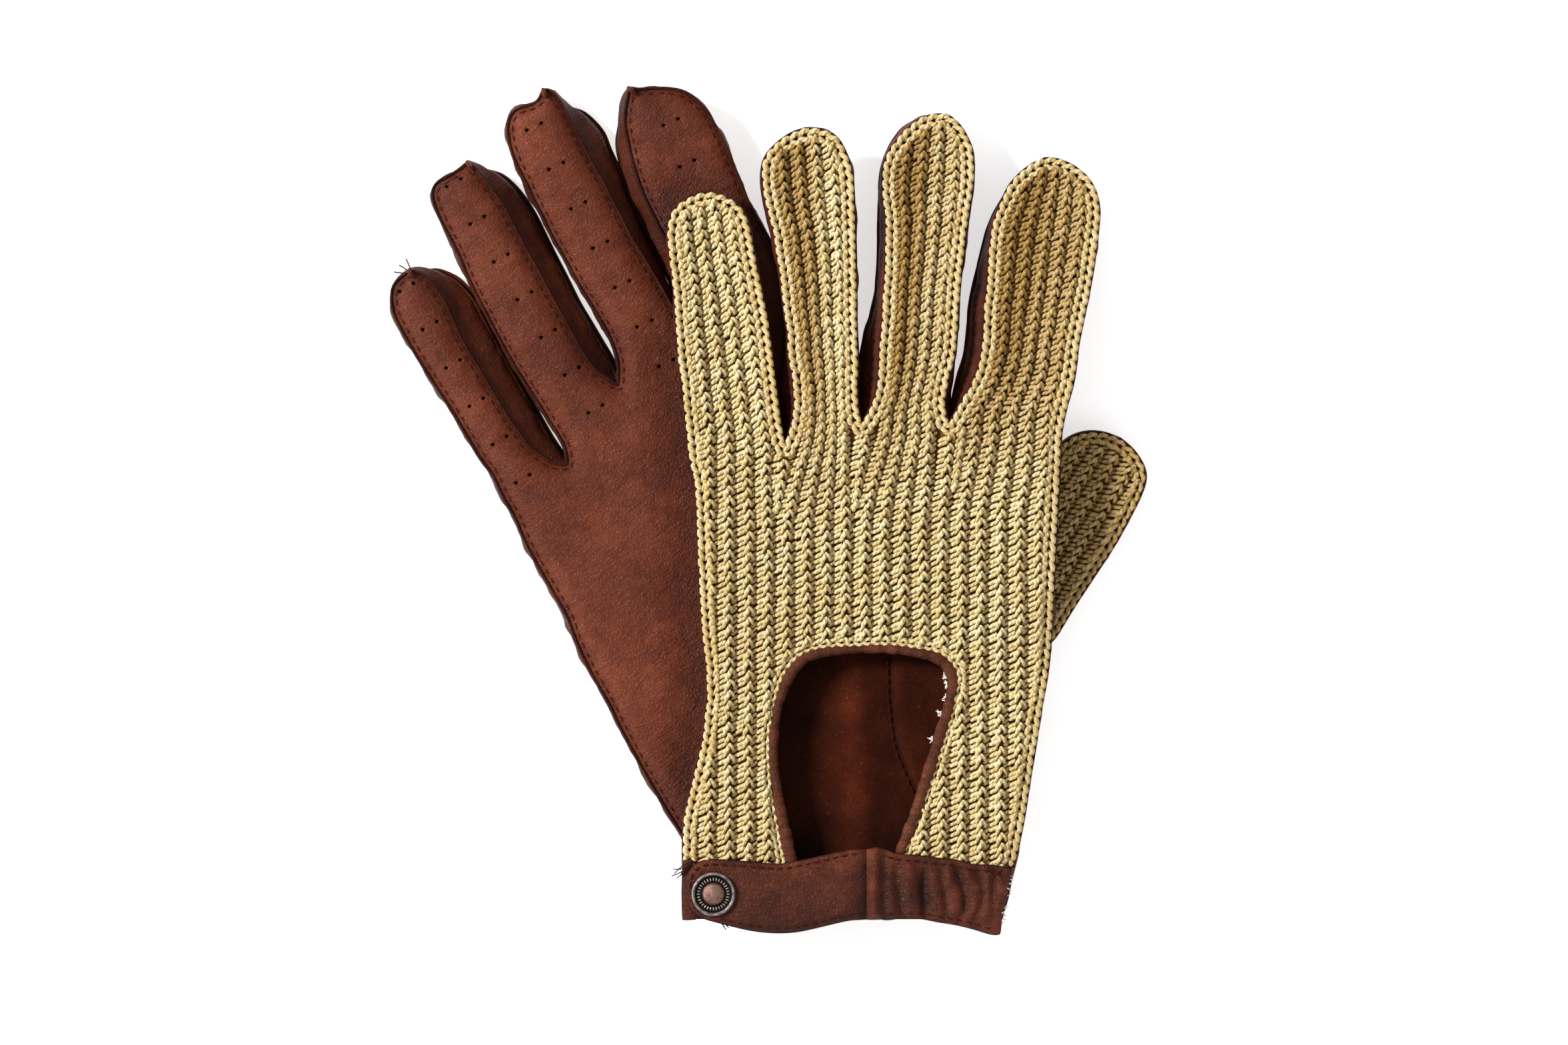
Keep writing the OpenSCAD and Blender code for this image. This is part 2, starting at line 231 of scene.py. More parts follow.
def vnoise(x, y, seed=0):
    """Smooth value noise, -1 to 1."""
    xi, yi = np.floor(x).astype(np.int64), np.floor(y).astype(np.int64)
    fx, fy = x - xi, y - yi
    fx, fy = fx * fx * (3 - 2 * fx), fy * fy * (3 - 2 * fy)

    def h(a, b):
        v = (a * 374761393 + b * 668265263 + seed * 1442695041) & 0xFFFFFFFF
        v = ((v ^ (v >> 13)) * 1274126177) & 0xFFFFFFFF
        return ((v ^ (v >> 16)) & 0xFFFF) / 32767.5 - 1

    return (h(xi, yi) * (1 - fx) + h(xi + 1, yi) * fx) * (1 - fy) + (h(xi, yi + 1) * (1 - fx) + h(xi + 1, yi + 1) * fx) * fy


def fbm(x, y, seed=0, n=3):
    out, a = 0, 1.0
    for i in range(n):
        out = out + a * vnoise(x * 2 ** i + 7.3 * i, y * 2 ** i - 3.1 * i, seed + i)
        a *= 0.5
    return out / 1.75


def sstep(x, a, b):
    t = np.clip((x - a) / (b - a), 0, 1)
    return t * t * (3 - 2 * t)


def rng_for(k):
    return np.random.default_rng(k)


def curve(pts, step, closed=False, smooth=True):
    """Evenly spaced points along a smooth curve through pts."""
    p = A2(pts)
    if smooth:
        n = len(p)
        idx = np.arange(n if closed else n - 1)
        get = (lambda i: p[i % n]) if closed else (lambda i: p[np.clip(i, 0, n - 1)])
        p0, p1, p2, p3 = get(idx - 1), get(idx), get(idx + 1), get(idx + 2)
        d = np.linalg.norm(p2 - p1, axis=1)
        # tangents limited by the chord, so uneven spacing makes no loops
        t1 = (p2 - p0) / np.maximum(np.linalg.norm(p2 - p0, axis=1), 1e-6)[:, None] * d[:, None]
        t2 = (p3 - p1) / np.maximum(np.linalg.norm(p3 - p1, axis=1), 1e-6)[:, None] * d[:, None]
        out = []
        for t in np.linspace(0, 1, 9)[:-1]:
            h00, h10, h01, h11 = 2 * t**3 - 3 * t**2 + 1, t**3 - 2 * t**2 + t, -2 * t**3 + 3 * t**2, t**3 - t**2
            out.append(h00 * p1 + h10 * t1 + h01 * p2 + h11 * t2)
        p = np.stack(out, 1).reshape(-1, 2)
        if not closed:
            p = np.vstack([p, A2(pts)[-1]])
    if closed:
        p = np.vstack([p, p[:1]])
    s = np.concatenate([[0], np.cumsum(np.linalg.norm(np.diff(p, axis=0), axis=1))])
    n = max(3, int(round(s[-1] / step)))
    u = np.linspace(0, s[-1], n + 1)
    q = np.stack([np.interp(u, s, p[:, k]) for k in (0, 1)], 1)
    return q[:-1] if closed else q


def resample_n(p, n):
    p = A2(p)
    s = np.concatenate([[0], np.cumsum(np.linalg.norm(np.diff(p, axis=0), axis=1))])
    u = np.linspace(0, s[-1], n)
    return np.stack([np.interp(u, s, p[:, k]) for k in (0, 1)], 1)


def arc(p):
    p = np.asarray(p)
    return np.concatenate([[0], np.cumsum(np.linalg.norm(np.diff(p[:, :2], axis=0), axis=1))])


def normals2(p, closed):
    """Unit normals to the left of the direction of travel."""
    if closed:
        t = np.roll(p, -1, 0) - np.roll(p, 1, 0)
    else:
        t = np.gradient(p, axis=0)
    t = t / np.maximum(np.linalg.norm(t, axis=1), 1e-9)[:, None]
    return np.stack([-t[:, 1], t[:, 0]], 1)


def inside(P, poly):
    a, b = poly, np.roll(poly, -1, 0)
    res = np.zeros(len(P), bool)
    for i in range(0, len(P), 4096):
        q = P[i : i + 4096]
        ya, yb = a[None, :, 1] > q[:, None, 1], b[None, :, 1] > q[:, None, 1]
        dy = b[:, 1] - a[:, 1]
        dy = np.where(np.abs(dy) < 1e-12, 1e-12, dy)
        xc = a[None, :, 0] + (q[:, None, 1] - a[None, :, 1]) * ((b[:, 0] - a[:, 0]) / dy)[None]
        res[i : i + 4096] = ((ya != yb) & (q[:, None, 0] < xc)).sum(1) % 2 == 1
    return res


def edge_dist(P, poly, closed=True):
    a = poly if closed else poly[:-1]
    b = np.roll(poly, -1, 0) if closed else poly[1:]
    ab = b - a
    l2 = np.maximum((ab**2).sum(1), 1e-12)
    res = np.zeros(len(P))
    for i in range(0, len(P), 2048):
        q = P[i : i + 2048]
        ap = q[:, None] - a[None]
        t = np.clip((ap * ab[None]).sum(2) / l2[None], 0, 1)
        res[i : i + 2048] = np.sqrt((((ap - ab[None] * t[..., None])) ** 2).sum(2).min(1))
    return res


class Field:
    """Signed distance to an outline, positive inside, sampled on a grid."""

    def __init__(self, poly, step=0.8, pad=14):
        self.lo = poly.min(0) - pad
        self.hi = poly.max(0) + pad
        self.n = np.ceil((self.hi - self.lo) / step).astype(int) + 1
        self.step = step
        gx = self.lo[0] + np.arange(self.n[0]) * step
        gy = self.lo[1] + np.arange(self.n[1]) * step
        X, Y = np.meshgrid(gx, gy, indexing="ij")
        P = np.stack([X.ravel(), Y.ravel()], 1)
        d = edge_dist(P, poly)
        d = np.where(inside(P, poly), d, -d)
        self.g = d.reshape(self.n)

    def __call__(self, x, y):
        fx = np.clip((x - self.lo[0]) / self.step, 0, self.n[0] - 1.001)
        fy = np.clip((y - self.lo[1]) / self.step, 0, self.n[1] - 1.001)
        i, j = fx.astype(int), fy.astype(int)
        u, v = fx - i, fy - j
        g = self.g
        return g[i, j] * (1 - u) * (1 - v) + g[i + 1, j] * u * (1 - v) + g[i, j + 1] * (1 - u) * v + g[i + 1, j + 1] * u * v


# ------------------------------------------------------------------ places
class Place:
    """Local millimetres (x across, y up the glove, w from leather to knit) to the row frame."""

    def __init__(self, x0, y0, turn, z0, up, fingers=None, name=""):
        self.x0, self.y0, self.turn, self.z0, self.up, self.fingers, self.name = x0, y0, turn, z0, up, fingers or {}, name
        self.c, self.s = math.cos(turn), math.sin(turn)

    def xy(self, x, y):
        return self.x0 + x * self.c - y * self.s, self.y0 + x * self.s + y * self.c

    def inv(self, X, Y):
        X, Y = X - self.x0, Y - self.y0
        return X * self.c + Y * self.s, -X * self.s + Y * self.c

    def finger_of(self, x, y):
        """For each point the index of its finger and its distance along it; below the knuckles the nearest finger counts."""
        best = np.full(len(x), 1e9)
        which = np.zeros(len(x), int)
        along = np.full(len(x), -1e3)
        for i, f in enumerate(self.fingers.values()):
            L = math.hypot(f[2] - f[0], f[3] - f[1])
            dx, dy = (f[2] - f[0]) / L, (f[3] - f[1]) / L
            a = (x - f[0]) * dx + (y - f[1]) * dy
            c = np.abs((x - f[0]) * dy - (y - f[1]) * dx)
            m = c < best
            best = np.where(m, c, best)
            which = np.where(m, i, which)
            along = np.where(m, a, along)
        return which, along

    def drooped(self, p):
        if not any(f[7] for f in self.fingers.values()):
            return p
        p = p.copy()
        which, along = self.finger_of(p[:, 0], p[:, 1])
        for i, f in enumerate(self.fingers.values()):
            if not f[7]:
                continue
            m = (which == i) & (along > f[6] - 12)
            if not m.any():
                continue
            L = math.hypot(f[2] - f[0], f[3] - f[1])
            d = np.array([(f[2] - f[0]) / L, (f[3] - f[1]) / L])
            t = sstep(along[m], f[6] - 12, f[6] + 12)
            a = np.radians(f[7]) * t
            y, w = along[m] - f[6], p[m, 2] - (H - AXIS_DROP)
            y2, w2 = y * np.cos(a) + w * np.sin(a), -y * np.sin(a) + w * np.cos(a)
            p[m, :2] += (y2 - y)[:, None] * d[None]
            p[m, 2] = w2 + H - AXIS_DROP
        return p

    def world(self, p):
        p = self.drooped(np.asarray(p, float))
        X, Y = self.xy(p[:, 0], p[:, 1])
        return np.stack([X, Y, self.z0 + self.up * p[:, 2]], 1) * 0.001


# ------------------------------------------------------------------ meshes
MATS = {}


def new_mesh(name, co, faces, mats=None, fmat=None, attrs=None, uv=None, normals=None, smooth=True):
    """faces is a list of (n, k) index arrays; co in metres."""
    me = bpy.data.meshes.new(name)
    me.vertices.add(len(co))
    me.vertices.foreach_set("co", np.asarray(co, np.float32).ravel())
    faces = [np.asarray(f, np.int32) for f in faces if len(f)]
    total = sum(f.size for f in faces)
    nf = sum(len(f) for f in faces)
    me.loops.add(total)
    me.polygons.add(nf)
    vi = np.concatenate([f.ravel() for f in faces])
    me.loops.foreach_set("vertex_index", vi)
    starts, c = [], 0
    for f in faces:
        starts.append(c + np.arange(len(f)) * f.shape[1])
        c += f.size
    me.polygons.foreach_set("loop_start", np.concatenate(starts).astype(np.int32))
    if fmat is not None:
        me.polygons.foreach_set("material_index", np.asarray(fmat, np.int32))
    me.update(calc_edges=True)
    me.polygons.foreach_set("use_smooth", np.ones(nf, bool) if smooth else np.zeros(nf, bool))
    for k, v in (attrs or {}).items():
        v = np.asarray(v, np.float32)
        a = me.attributes.new(k, "FLOAT_VECTOR" if v.ndim == 2 else "FLOAT", "POINT")
        a.data.foreach_set("vector" if v.ndim == 2 else "value", v.ravel())
    if uv is not None:
        layer = me.uv_layers.new(name="st")
        layer.data.foreach_set("uv", np.asarray(uv, np.float32)[vi].ravel())
    for m in mats or []:
        me.materials.append(MATS[m])
    me.validate()
    if normals is not None:
        me.normals_split_custom_set_from_vertices(np.asarray(normals, float).tolist())
    o = bpy.data.objects.new(name, me)
    scene.collection.objects.link(o)
    return o


class Build:
    """Collects vertices and faces in local millimetres for one kind of piece of one glove."""

    def __init__(self, place):
        self.place, self.p, self.f, self.fm, self.at, self.uv, self.n = place, [], [], [], {}, [], 0

    def add(self, p, faces, mat=0, rnd=None, dk=None, uv=None, lc=None):
        p = np.asarray(p, float)
        k = len(p)
        self.p.append(p)
        for i, f in enumerate(faces):
            f = np.asarray(f, int)
            if len(f):
                self.f.append(f + self.n)
                self.fm.append(np.full(len(f), mat[i] if isinstance(mat, (list, tuple)) else mat))
        for key, v in (("rnd", rnd), ("dk", dk)):
            v = np.full(k, 0.5 if key == "rnd" else 1.0) if v is None else np.broadcast_to(np.asarray(v, float), (k,))
            self.at.setdefault(key, []).append(v)
        self.at.setdefault("lc", []).append(p if lc is None else lc)
        self.uv.append(np.zeros((k, 2)) if uv is None else uv)
        self.n += k

    def arrays(self):
        P = np.concatenate(self.p)
        at = {k: np.concatenate(v) for k, v in self.at.items()}
        uv = np.concatenate(self.uv)
        W = self.place.world(P)
        flip = self.place.up < 0
        F = [f[:, ::-1] if flip else f for f in self.f]
        return P, W, F, self.fm, at, uv

    def make(self, names, mats, custom_normals=True, rest=None):
        """names maps "" to the piece that stays on the hand and a finger's name to the piece past its hinge; returns {key: object}."""
        if not self.p:
            return {}
        P, W, F, FM, at, uv = self.arrays()
        # vertex normals of the whole piece
        nrm = np.zeros_like(W)
        for f in F:
            v = W[f]
            if f.shape[1] == 4:
                c = np.cross(v[:, 2] - v[:, 0], v[:, 3] - v[:, 1])
            else:
                c = np.cross(v[:, 1] - v[:, 0], v[:, 2] - v[:, 0])
            for k in range(f.shape[1]):
                np.add.at(nrm, f[:, k], c)
        ln = np.linalg.norm(nrm, axis=1)
        nrm = np.where(ln[:, None] > 1e-20, nrm / np.maximum(ln, 1e-20)[:, None], np.array([0, 0, 1.0]))
        keys = list(names)
        fing = list(self.place.fingers)
        groups = {k: [] for k in keys}
        for f, m in zip(F, FM):
            if len(keys) == 1:
                groups[keys[0]].append((f, m))
                continue
            c = P[f].mean(1)
            which, along = self.place.finger_of(c[:, 0], c[:, 1])
            lab = np.full(len(f), -1)
            for i, k in enumerate(fing):
                lab[(which == i) & (along > self.place.fingers[k][6] - 10)] = i
            for i, k in [(-1, "")] + list(enumerate(fing)):
                s = lab == i
                if s.any():
                    groups[k].append((f[s], m[s]))
        out = {}
        for k in keys:
            if not groups[k]:
                continue
            fs = [g[0] for g in groups[k]]
            used = np.unique(np.concatenate([f.ravel() for f in fs]))
            remap = np.full(len(P), -1)
            remap[used] = np.arange(len(used))
            byk = {}
            for (f, m) in groups[k]:
                byk.setdefault(f.shape[1], []).append((remap[f], m))
            faces, fms = [], []
            for q in sorted(byk):
                faces.append(np.concatenate([a for a, _ in byk[q]]))
                fms.append(np.concatenate([b for _, b in byk[q]]))
            out[k] = new_mesh(names[k], W[used], faces, mats, np.concatenate(fms), {a: v[used] for a, v in at.items()}, uv[used],
                              nrm[used] if custom_normals else None)
        return out


def grid_faces(r, c, wrap_c=False, base=0):
    """Quads over an r by c grid of points, row after row."""
    i = np.arange(r - 1)[:, None]
    j = np.arange(c if wrap_c else c - 1)[None]
    a = i * c + j
    b = i * c + (j + 1) % c
    return np.stack([a, b, b + c, a + c], -1).reshape(-1, 4) + base


def strands(P, rad, K=6, up=(0, 0, 1.0), flat=1.0):
    """Closed tubes along many short paths at once. P is (S, R, 3), rad (S, R). Returns points, quads, tris, uv, strand index."""
    S, R, _ = P.shape
    T = np.gradient(P, axis=1)
    T /= np.maximum(np.linalg.norm(T, axis=2), 1e-9)[..., None]
    U = np.broadcast_to(np.array(up, float), T.shape)
    A = np.cross(U, T)
    A /= np.maximum(np.linalg.norm(A, axis=2), 1e-9)[..., None]
    B = np.cross(T, A)
    th = np.arange(K) / K * 2 * math.pi
    ring = P[:, :, None] + rad[..., None, None] * (np.cos(th)[None, None, :, None] * A[:, :, None] + flat * np.sin(th)[None, None, :, None] * B[:, :, None])
    pts = ring.reshape(S, R * K, 3)
    c0 = P[:, :1] - T[:, :1] * rad[:, :1, None] * 0.4
    c1 = P[:, -1:] + T[:, -1:] * rad[:, -1:, None] * 0.4
    allp = np.concatenate([pts, c0, c1], 1)
    m = R * K + 2
    q = grid_faces(R, K, True)
    k = np.arange(K)
    t0 = np.stack([np.full(K, R * K), (k + 1) % K, k], 1)
    t1 = np.stack([np.full(K, R * K + 1), (R - 1) * K + k, (R - 1) * K + (k + 1) % K], 1)
    off = (np.arange(S) * m)[:, None, None]
    quads = (q[None] + off).reshape(-1, 4)
    tris = (np.concatenate([t0, t1])[None] + off).reshape(-1, 3)
    L = np.concatenate([np.zeros((S, 1)), np.cumsum(np.linalg.norm(np.diff(P, axis=1), axis=2), axis=1)], 1)
    u = np.repeat(L, K, 1)
    v = np.tile(np.arange(K) / K, R)[None].repeat(S, 0)
    uv = np.concatenate([np.stack([u, v], 2), np.zeros((S, 1, 2)), np.stack([L[:, -1:], np.zeros((S, 1))], 2)], 1).reshape(-1, 2)
    return allp.reshape(-1, 3), quads, tris, uv, np.repeat(np.arange(S), m)


def tube(path, ra, rb, K=12, closed=False):
    """One swept tube with an elliptical section: ra in the plane, rb in w. path is (R, 3). Returns points, quads, tris, uv."""
    R = len(path)
    ra, rb = np.broadcast_to(ra, (R,)), np.broadcast_to(rb, (R,))
    n2 = normals2(path[:, :2], closed)
    Nn = np.concatenate([n2, np.zeros((R, 1))], 1)
    th = np.arange(K) / K * 2 * math.pi
    ring = path[:, None] - Nn[:, None] * (ra[:, None] * np.cos(th))[..., None] + np.array([0, 0, 1.0]) * (rb[:, None] * np.sin(th))[..., None]
    pts = ring.reshape(-1, 3)
    s = arc(path)
    uv = np.stack([np.repeat(s, K), np.tile(np.arange(K) / K, R)], 1)
    if closed:
        i = np.arange(R)[:, None]
        j = np.arange(K)[None]
        a, b = i * K + j, i * K + (j + 1) % K
        c, d = ((i + 1) % R) * K + (j + 1) % K, ((i + 1) % R) * K + j
        return pts, np.stack([a, b, c, d], -1).reshape(-1, 4), np.zeros((0, 3), int), uv
    q = grid_faces(R, K, True)
    k = np.arange(K)
    pts = np.concatenate([pts, path[:1], path[-1:]])
    uv = np.concatenate([uv, [[0, 0], [s[-1], 0]]])
    t0 = np.stack([np.full(K, R * K), (k + 1) % K, k], 1)
    t1 = np.stack([np.full(K, R * K + 1), (R - 1) * K + k, (R - 1) * K + (k + 1) % K], 1)
    return pts, q, np.concatenate([t0, t1]), uv


def fill(loops, spacing, seed=1):
    """Triangles filling the first loop less the others. Loops are closed and evenly spaced. Returns points, triangles, loop index lists."""
    outer = loops[0]
    lo, hi = outer.min(0), outer.max(0)
    dx, dy = spacing, spacing * math.sqrt(3) / 2
    gy = np.arange(lo[1], hi[1], dy)
    rows = [np.stack([np.arange(lo[0], hi[0], dx) + (i % 2) * dx / 2, np.full(len(np.arange(lo[0], hi[0], dx)), y)], 1) for i, y in enumerate(gy)]
    G = np.concatenate(rows)
    G = G + rng_for(seed).uniform(-0.08, 0.08, G.shape) * spacing
    m = inside(G, outer)
    G = G[m]
    d = edge_dist(G, outer)
    G = G[d > spacing * 0.6]
    for h in loops[1:]:
        near = (np.abs(G - h.mean(0)).max(1) < np.abs(h - h.mean(0)).max() + spacing * 2)
        bad = np.zeros(len(G), bool)
        if near.any():
            q = G[near]
            bad[near] = inside(q, h) | (edge_dist(q, h) < spacing * 0.5)
        G = G[~bad]
    pts, edges, ids = [], [], []
    n = 0
    for l in loops:
        k = len(l)
        pts.append(l)
        ids.append(n + np.arange(k))
        edges += [(n + i, n + (i + 1) % k) for i in range(k)]
        n += k
    allp = np.concatenate(pts + [G])
    res = delaunay_2d_cdt([Vector(p) for p in allp], edges, [], 0, 1e-7)
    out_v = np.array([(v.x, v.y) for v in res[0]])
    tri = np.array([f for f in res[2] if len(f) == 3])
    # which output vertex each input became
    back = {}
    for i, src in enumerate(res[3]):
        for s in src:
            back[s] = i
    ids = [np.array([back[i] for i in l]) for l in ids]
    c = out_v[tri].mean(1)
    keep = inside(c, outer)
    for h in loops[1:]:
        near = keep & (np.abs(c - h.mean(0)).max(1) < np.abs(h - h.mean(0)).max() + 0.01)
        if near.any():
            idx = np.nonzero(near)[0]
            keep[idx[inside(c[idx], h)]] = False
    tri = tri[keep]
    v = out_v[tri]
    area2 = (v[:, 1, 0] - v[:, 0, 0]) * (v[:, 2, 1] - v[:, 0, 1]) - (v[:, 1, 1] - v[:, 0, 1]) * (v[:, 2, 0] - v[:, 0, 0])
    tri[area2 < 0] = tri[area2 < 0][:, ::-1]
    return out_v, tri, ids


def panel(b, outline, holes, spacing, w_out, w_in, mats=(0, 1, 2), side=1, rim=0.3, seed=1, dk=None, step=None, dk_in=None, border=None):
    """A sheet between two height functions. side 1: w_out is above w_in; -1: below. mats are outer, inner, rim."""
    loops = [curve(outline, step or spacing, True, smooth=False)] + [h for h in holes]
    P2, tri, ids = fill(loops, spacing, seed)
    x, y = P2[:, 0], P2[:, 1]
    wo, wi = w_out(x, y), w_in(x, y)
    n = len(P2)
    top = np.column_stack([P2, wo])
    bot = np.column_stack([P2, wi])
    if dk is None:
        dkv = np.ones(n)
    else:
        dkv = dk(x, y)
    p = [top, bot]
    dks = [dkv, dkv if dk_in is None else dk_in(x, y)]
    f_top = tri if side > 0 else tri[:, ::-1]
    f_bot = (tri[:, ::-1] if side > 0 else tri) + n
    quads = []
    base = 2 * n
    for li, l in enumerate(ids):
        lp = P2[l]
        # outward from the material
        a = 0.5 * ((lp[:, 0] * np.roll(lp[:, 1], -1)) - (np.roll(lp[:, 0], -1) * lp[:, 1])).sum()
        nn = normals2(lp, True) * (-1 if a > 0 else 1) * (1 if li == 0 else -1)
        r = rim if li == 0 else 0.0
        k = len(l)
        mids = np.column_stack([lp + nn * r, (wo[l] + wi[l]) / 2])
        p.append(mids)
        # the rim between the two faces is painted 8% darker: painted shade on the sheet's edge
        dks.append(dkv[l] * 0.92)
        i = np.arange(k)
        j = (i + 1) % k
        t0, t1 = l[i], l[j]
        m0, m1 = base + i, base + j
        b0, b1 = l[i] + n, l[j] + n
        q1 = np.stack([t0, m0, m1, t1], 1)
        q2 = np.stack([m0, b0, b1, m1], 1)
        ccw = (a > 0) == (li == 0)
        if (ccw and side < 0) or (not ccw and side > 0):
            q1, q2 = q1[:, ::-1], q2[:, ::-1]
        quads += [q1, q2]
        base += k
    tops, tm = [f_top], [mats[0]]
    if border is not None:
        # faces near the edge may be another material
        e = border[0](x, y)[tri].mean(1) < border[1]
        tops, tm = [f_top[~e], f_top[e]], [mats[0], border[2]]
    b.add(np.concatenate(p), tops + [f_bot, np.concatenate(quads)], tm + [mats[1], mats[2]], dk=np.concatenate(dks))
    return loops


def stitch_path(b, path, wfn, length, gap, r, mat=0, side=1, lift=0.12, jitter=0.08, seed=3, closed=False, wob=0.0):
    """Running stitches along a path in the plane."""
    s = arc(path)
    rg = rng_for(seed)
    starts = np.arange(0.3, s[-1] - length, length + gap)
    if not len(starts):
        return
    starts = starts + rg.uniform(-jitter, jitter, len(starts))
    t = np.array([0, 0.3, 0.7, 1.0])
    u = starts[:, None] + t[None] * length
    X = np.interp(u, s, path[:, 0])
    Y = np.interp(u, s, path[:, 1])
    Wv = wfn(X.ravel(), Y.ravel()).reshape(X.shape) + side * (np.array([-0.1, lift, lift, -0.1])[None])
    if wob:
        X = X + rg.normal(0, wob, (len(starts), 1))
    P = np.stack([X, Y, Wv], 2)
    rad = np.broadcast_to(np.array([0.55, 1, 1, 0.55])[None] * r, X.shape)
    p, q, tr, uv, idx = strands(P, rad, 6)
    b.add(p, [q, tr], mat, rnd=rg.uniform(0, 1, len(starts))[idx], uv=uv)


def offset_path(path, d, closed=False):
    return path + normals2(path, closed) * d


# ------------------------------------------------------------------ the pattern
# base x, base y, tip x, tip y, base width, tip width, distance to the flex line, droop in degrees
FING = {
    "left": {"pinky": (-32.3, 133.5, -40.6, 206.4, 26.5, 23.5, 26, 0), "ring": (-6.5, 137.0, -11.3, 225.0, 17.5, 24.0, 31, 0),
             "middle": (16.2, 140.0, 23.4, 231.3, 22, 25, 33, 10.5), "index": (45.2, 139.3, 59.0, 218.3, 31, 30, 29, 12)},
    "right": {"pinky": (-32.3, 133.0, -35.2, 204.2, 21, 22, 26, 0), "ring": (-8.8, 139.0, -10.0, 223.0, 22, 24.2, 31, 0),
              "middle": (15.5, 146.0, 19.6, 230.6, 20, 25, 29, 0), "index": (44.0, 141.0, 48.9, 218.2, 27.5, 28.5, 46, 0)},
}
mp, rp = MOUNT["left_wrist_opening"], MOUNT["right_wrist_opening"]


def place_of(side):
    m = MOUNT[side + "_wrist_opening"]
    turn = math.atan2(m["axis"][0], -m["axis"][1])
    a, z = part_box(side + "_palm_leather")
    return Place(m["pos_m"][0] * 1000, m["pos_m"][1] * 1000, turn, (a.z if side == "left" else z.z) * 1000, 1 if side == "left" else -1, FING[side], side)


# Sections of the knit outline: each runs from one crotch or tip to the next
LT = [
    [(-46.6, 15), (-46.8, 20), (-46.2, 30), (-43.8, 40), (-41.5, 50), (-40.2, 60), (-40, 70), (-41, 80), (-41.8, 90), (-42.6, 110),
     (-43.5, 125), (-44.8, 130), (-45.8, 140), (-46.8, 150), (-48, 160), (-48.8, 170), (-49.5, 180), (-50.7, 190), (-51, 197), (-49.3, 202),
     (-45, 205), (-41, 206.5)],
    [(-41, 206.5), (-37, 205.7), (-33, 204), (-29.8, 200), (-28.4, 195), (-27.6, 190), (-25.4, 180), (-23.6, 170), (-22.2, 160), (-21, 150),
     (-19.6, 140), (-18.2, 134)],
    [(-18.2, 134), (-16.2, 140), (-15.2, 147), (-15.8, 155), (-17.0, 161), (-17.0, 167), (-17.6, 170), (-18.3, 175), (-18.8, 180), (-19.5, 185),
     (-20.3, 190), (-21, 195), (-22.3, 200), (-23.5, 205), (-24.2, 210), (-24, 215), (-22.5, 218), (-19.5, 221), (-16.5, 223), (-12.5, 224.5)],
    [(-12.5, 224.5), (-8, 224.2), (-5, 223), (-3, 221), (-1, 217), (0.2, 213), (0.6, 210), (1, 200), (1.3, 190), (1.5, 180), (1.6, 170), (2, 160),
     (1.9, 150), (2.2, 145), (3.4, 140.2)],
    [(3.4, 140.2), (6.3, 145), (8, 150), (8.8, 155), (9, 160), (9.2, 165), (9.8, 170), (10, 175), (10.3, 180), (10.7, 185), (10.8, 190), (10.9, 200),
     (10.2, 205), (10, 210), (10.3, 215), (12, 220), (14.3, 223), (17, 226), (20.5, 229), (24, 230.3)],
    [(24, 230.3), (28, 230.3), (31, 228), (33, 225), (35, 220), (35.2, 215), (35, 210), (34.3, 205), (33.5, 200), (32.2, 190), (31, 180), (30.3, 170),
     (30, 165), (29.5, 160), (28, 155), (27, 150), (26.7, 146), (28.3, 140.2)],
    [(28.3, 140.2), (30.4, 144), (32, 147), (34, 150), (36.3, 155), (37.8, 160), (38.5, 165), (38.6, 170), (39, 175), (39.7, 180), (40, 185), (40.3, 190),
     (41, 195), (42, 200), (44, 205), (46.5, 210), (49, 213), (52.5, 216), (56.5, 218)],
    [(56.5, 218), (58.5, 218), (62, 217), (65.5, 215), (68.5, 212), (70.5, 208), (71.3, 203), (70.9, 198), (70.3, 193), (69.5, 188), (68.7, 183),
     (67.7, 178), (66.6, 173), (65.5, 168), (64.5, 163), (64, 158), (63, 152), (61.8, 148), (60.8, 144), (60, 140), (59.5, 136), (59.3, 130),
     (58.8, 120), (58.3, 110), (57.8, 100), (57.3, 90), (56.8, 80), (55.8, 70), (54, 60), (52.5, 50), (50.8, 40), (49.3, 30), (47.3, 20), (46.2, 15)],
]
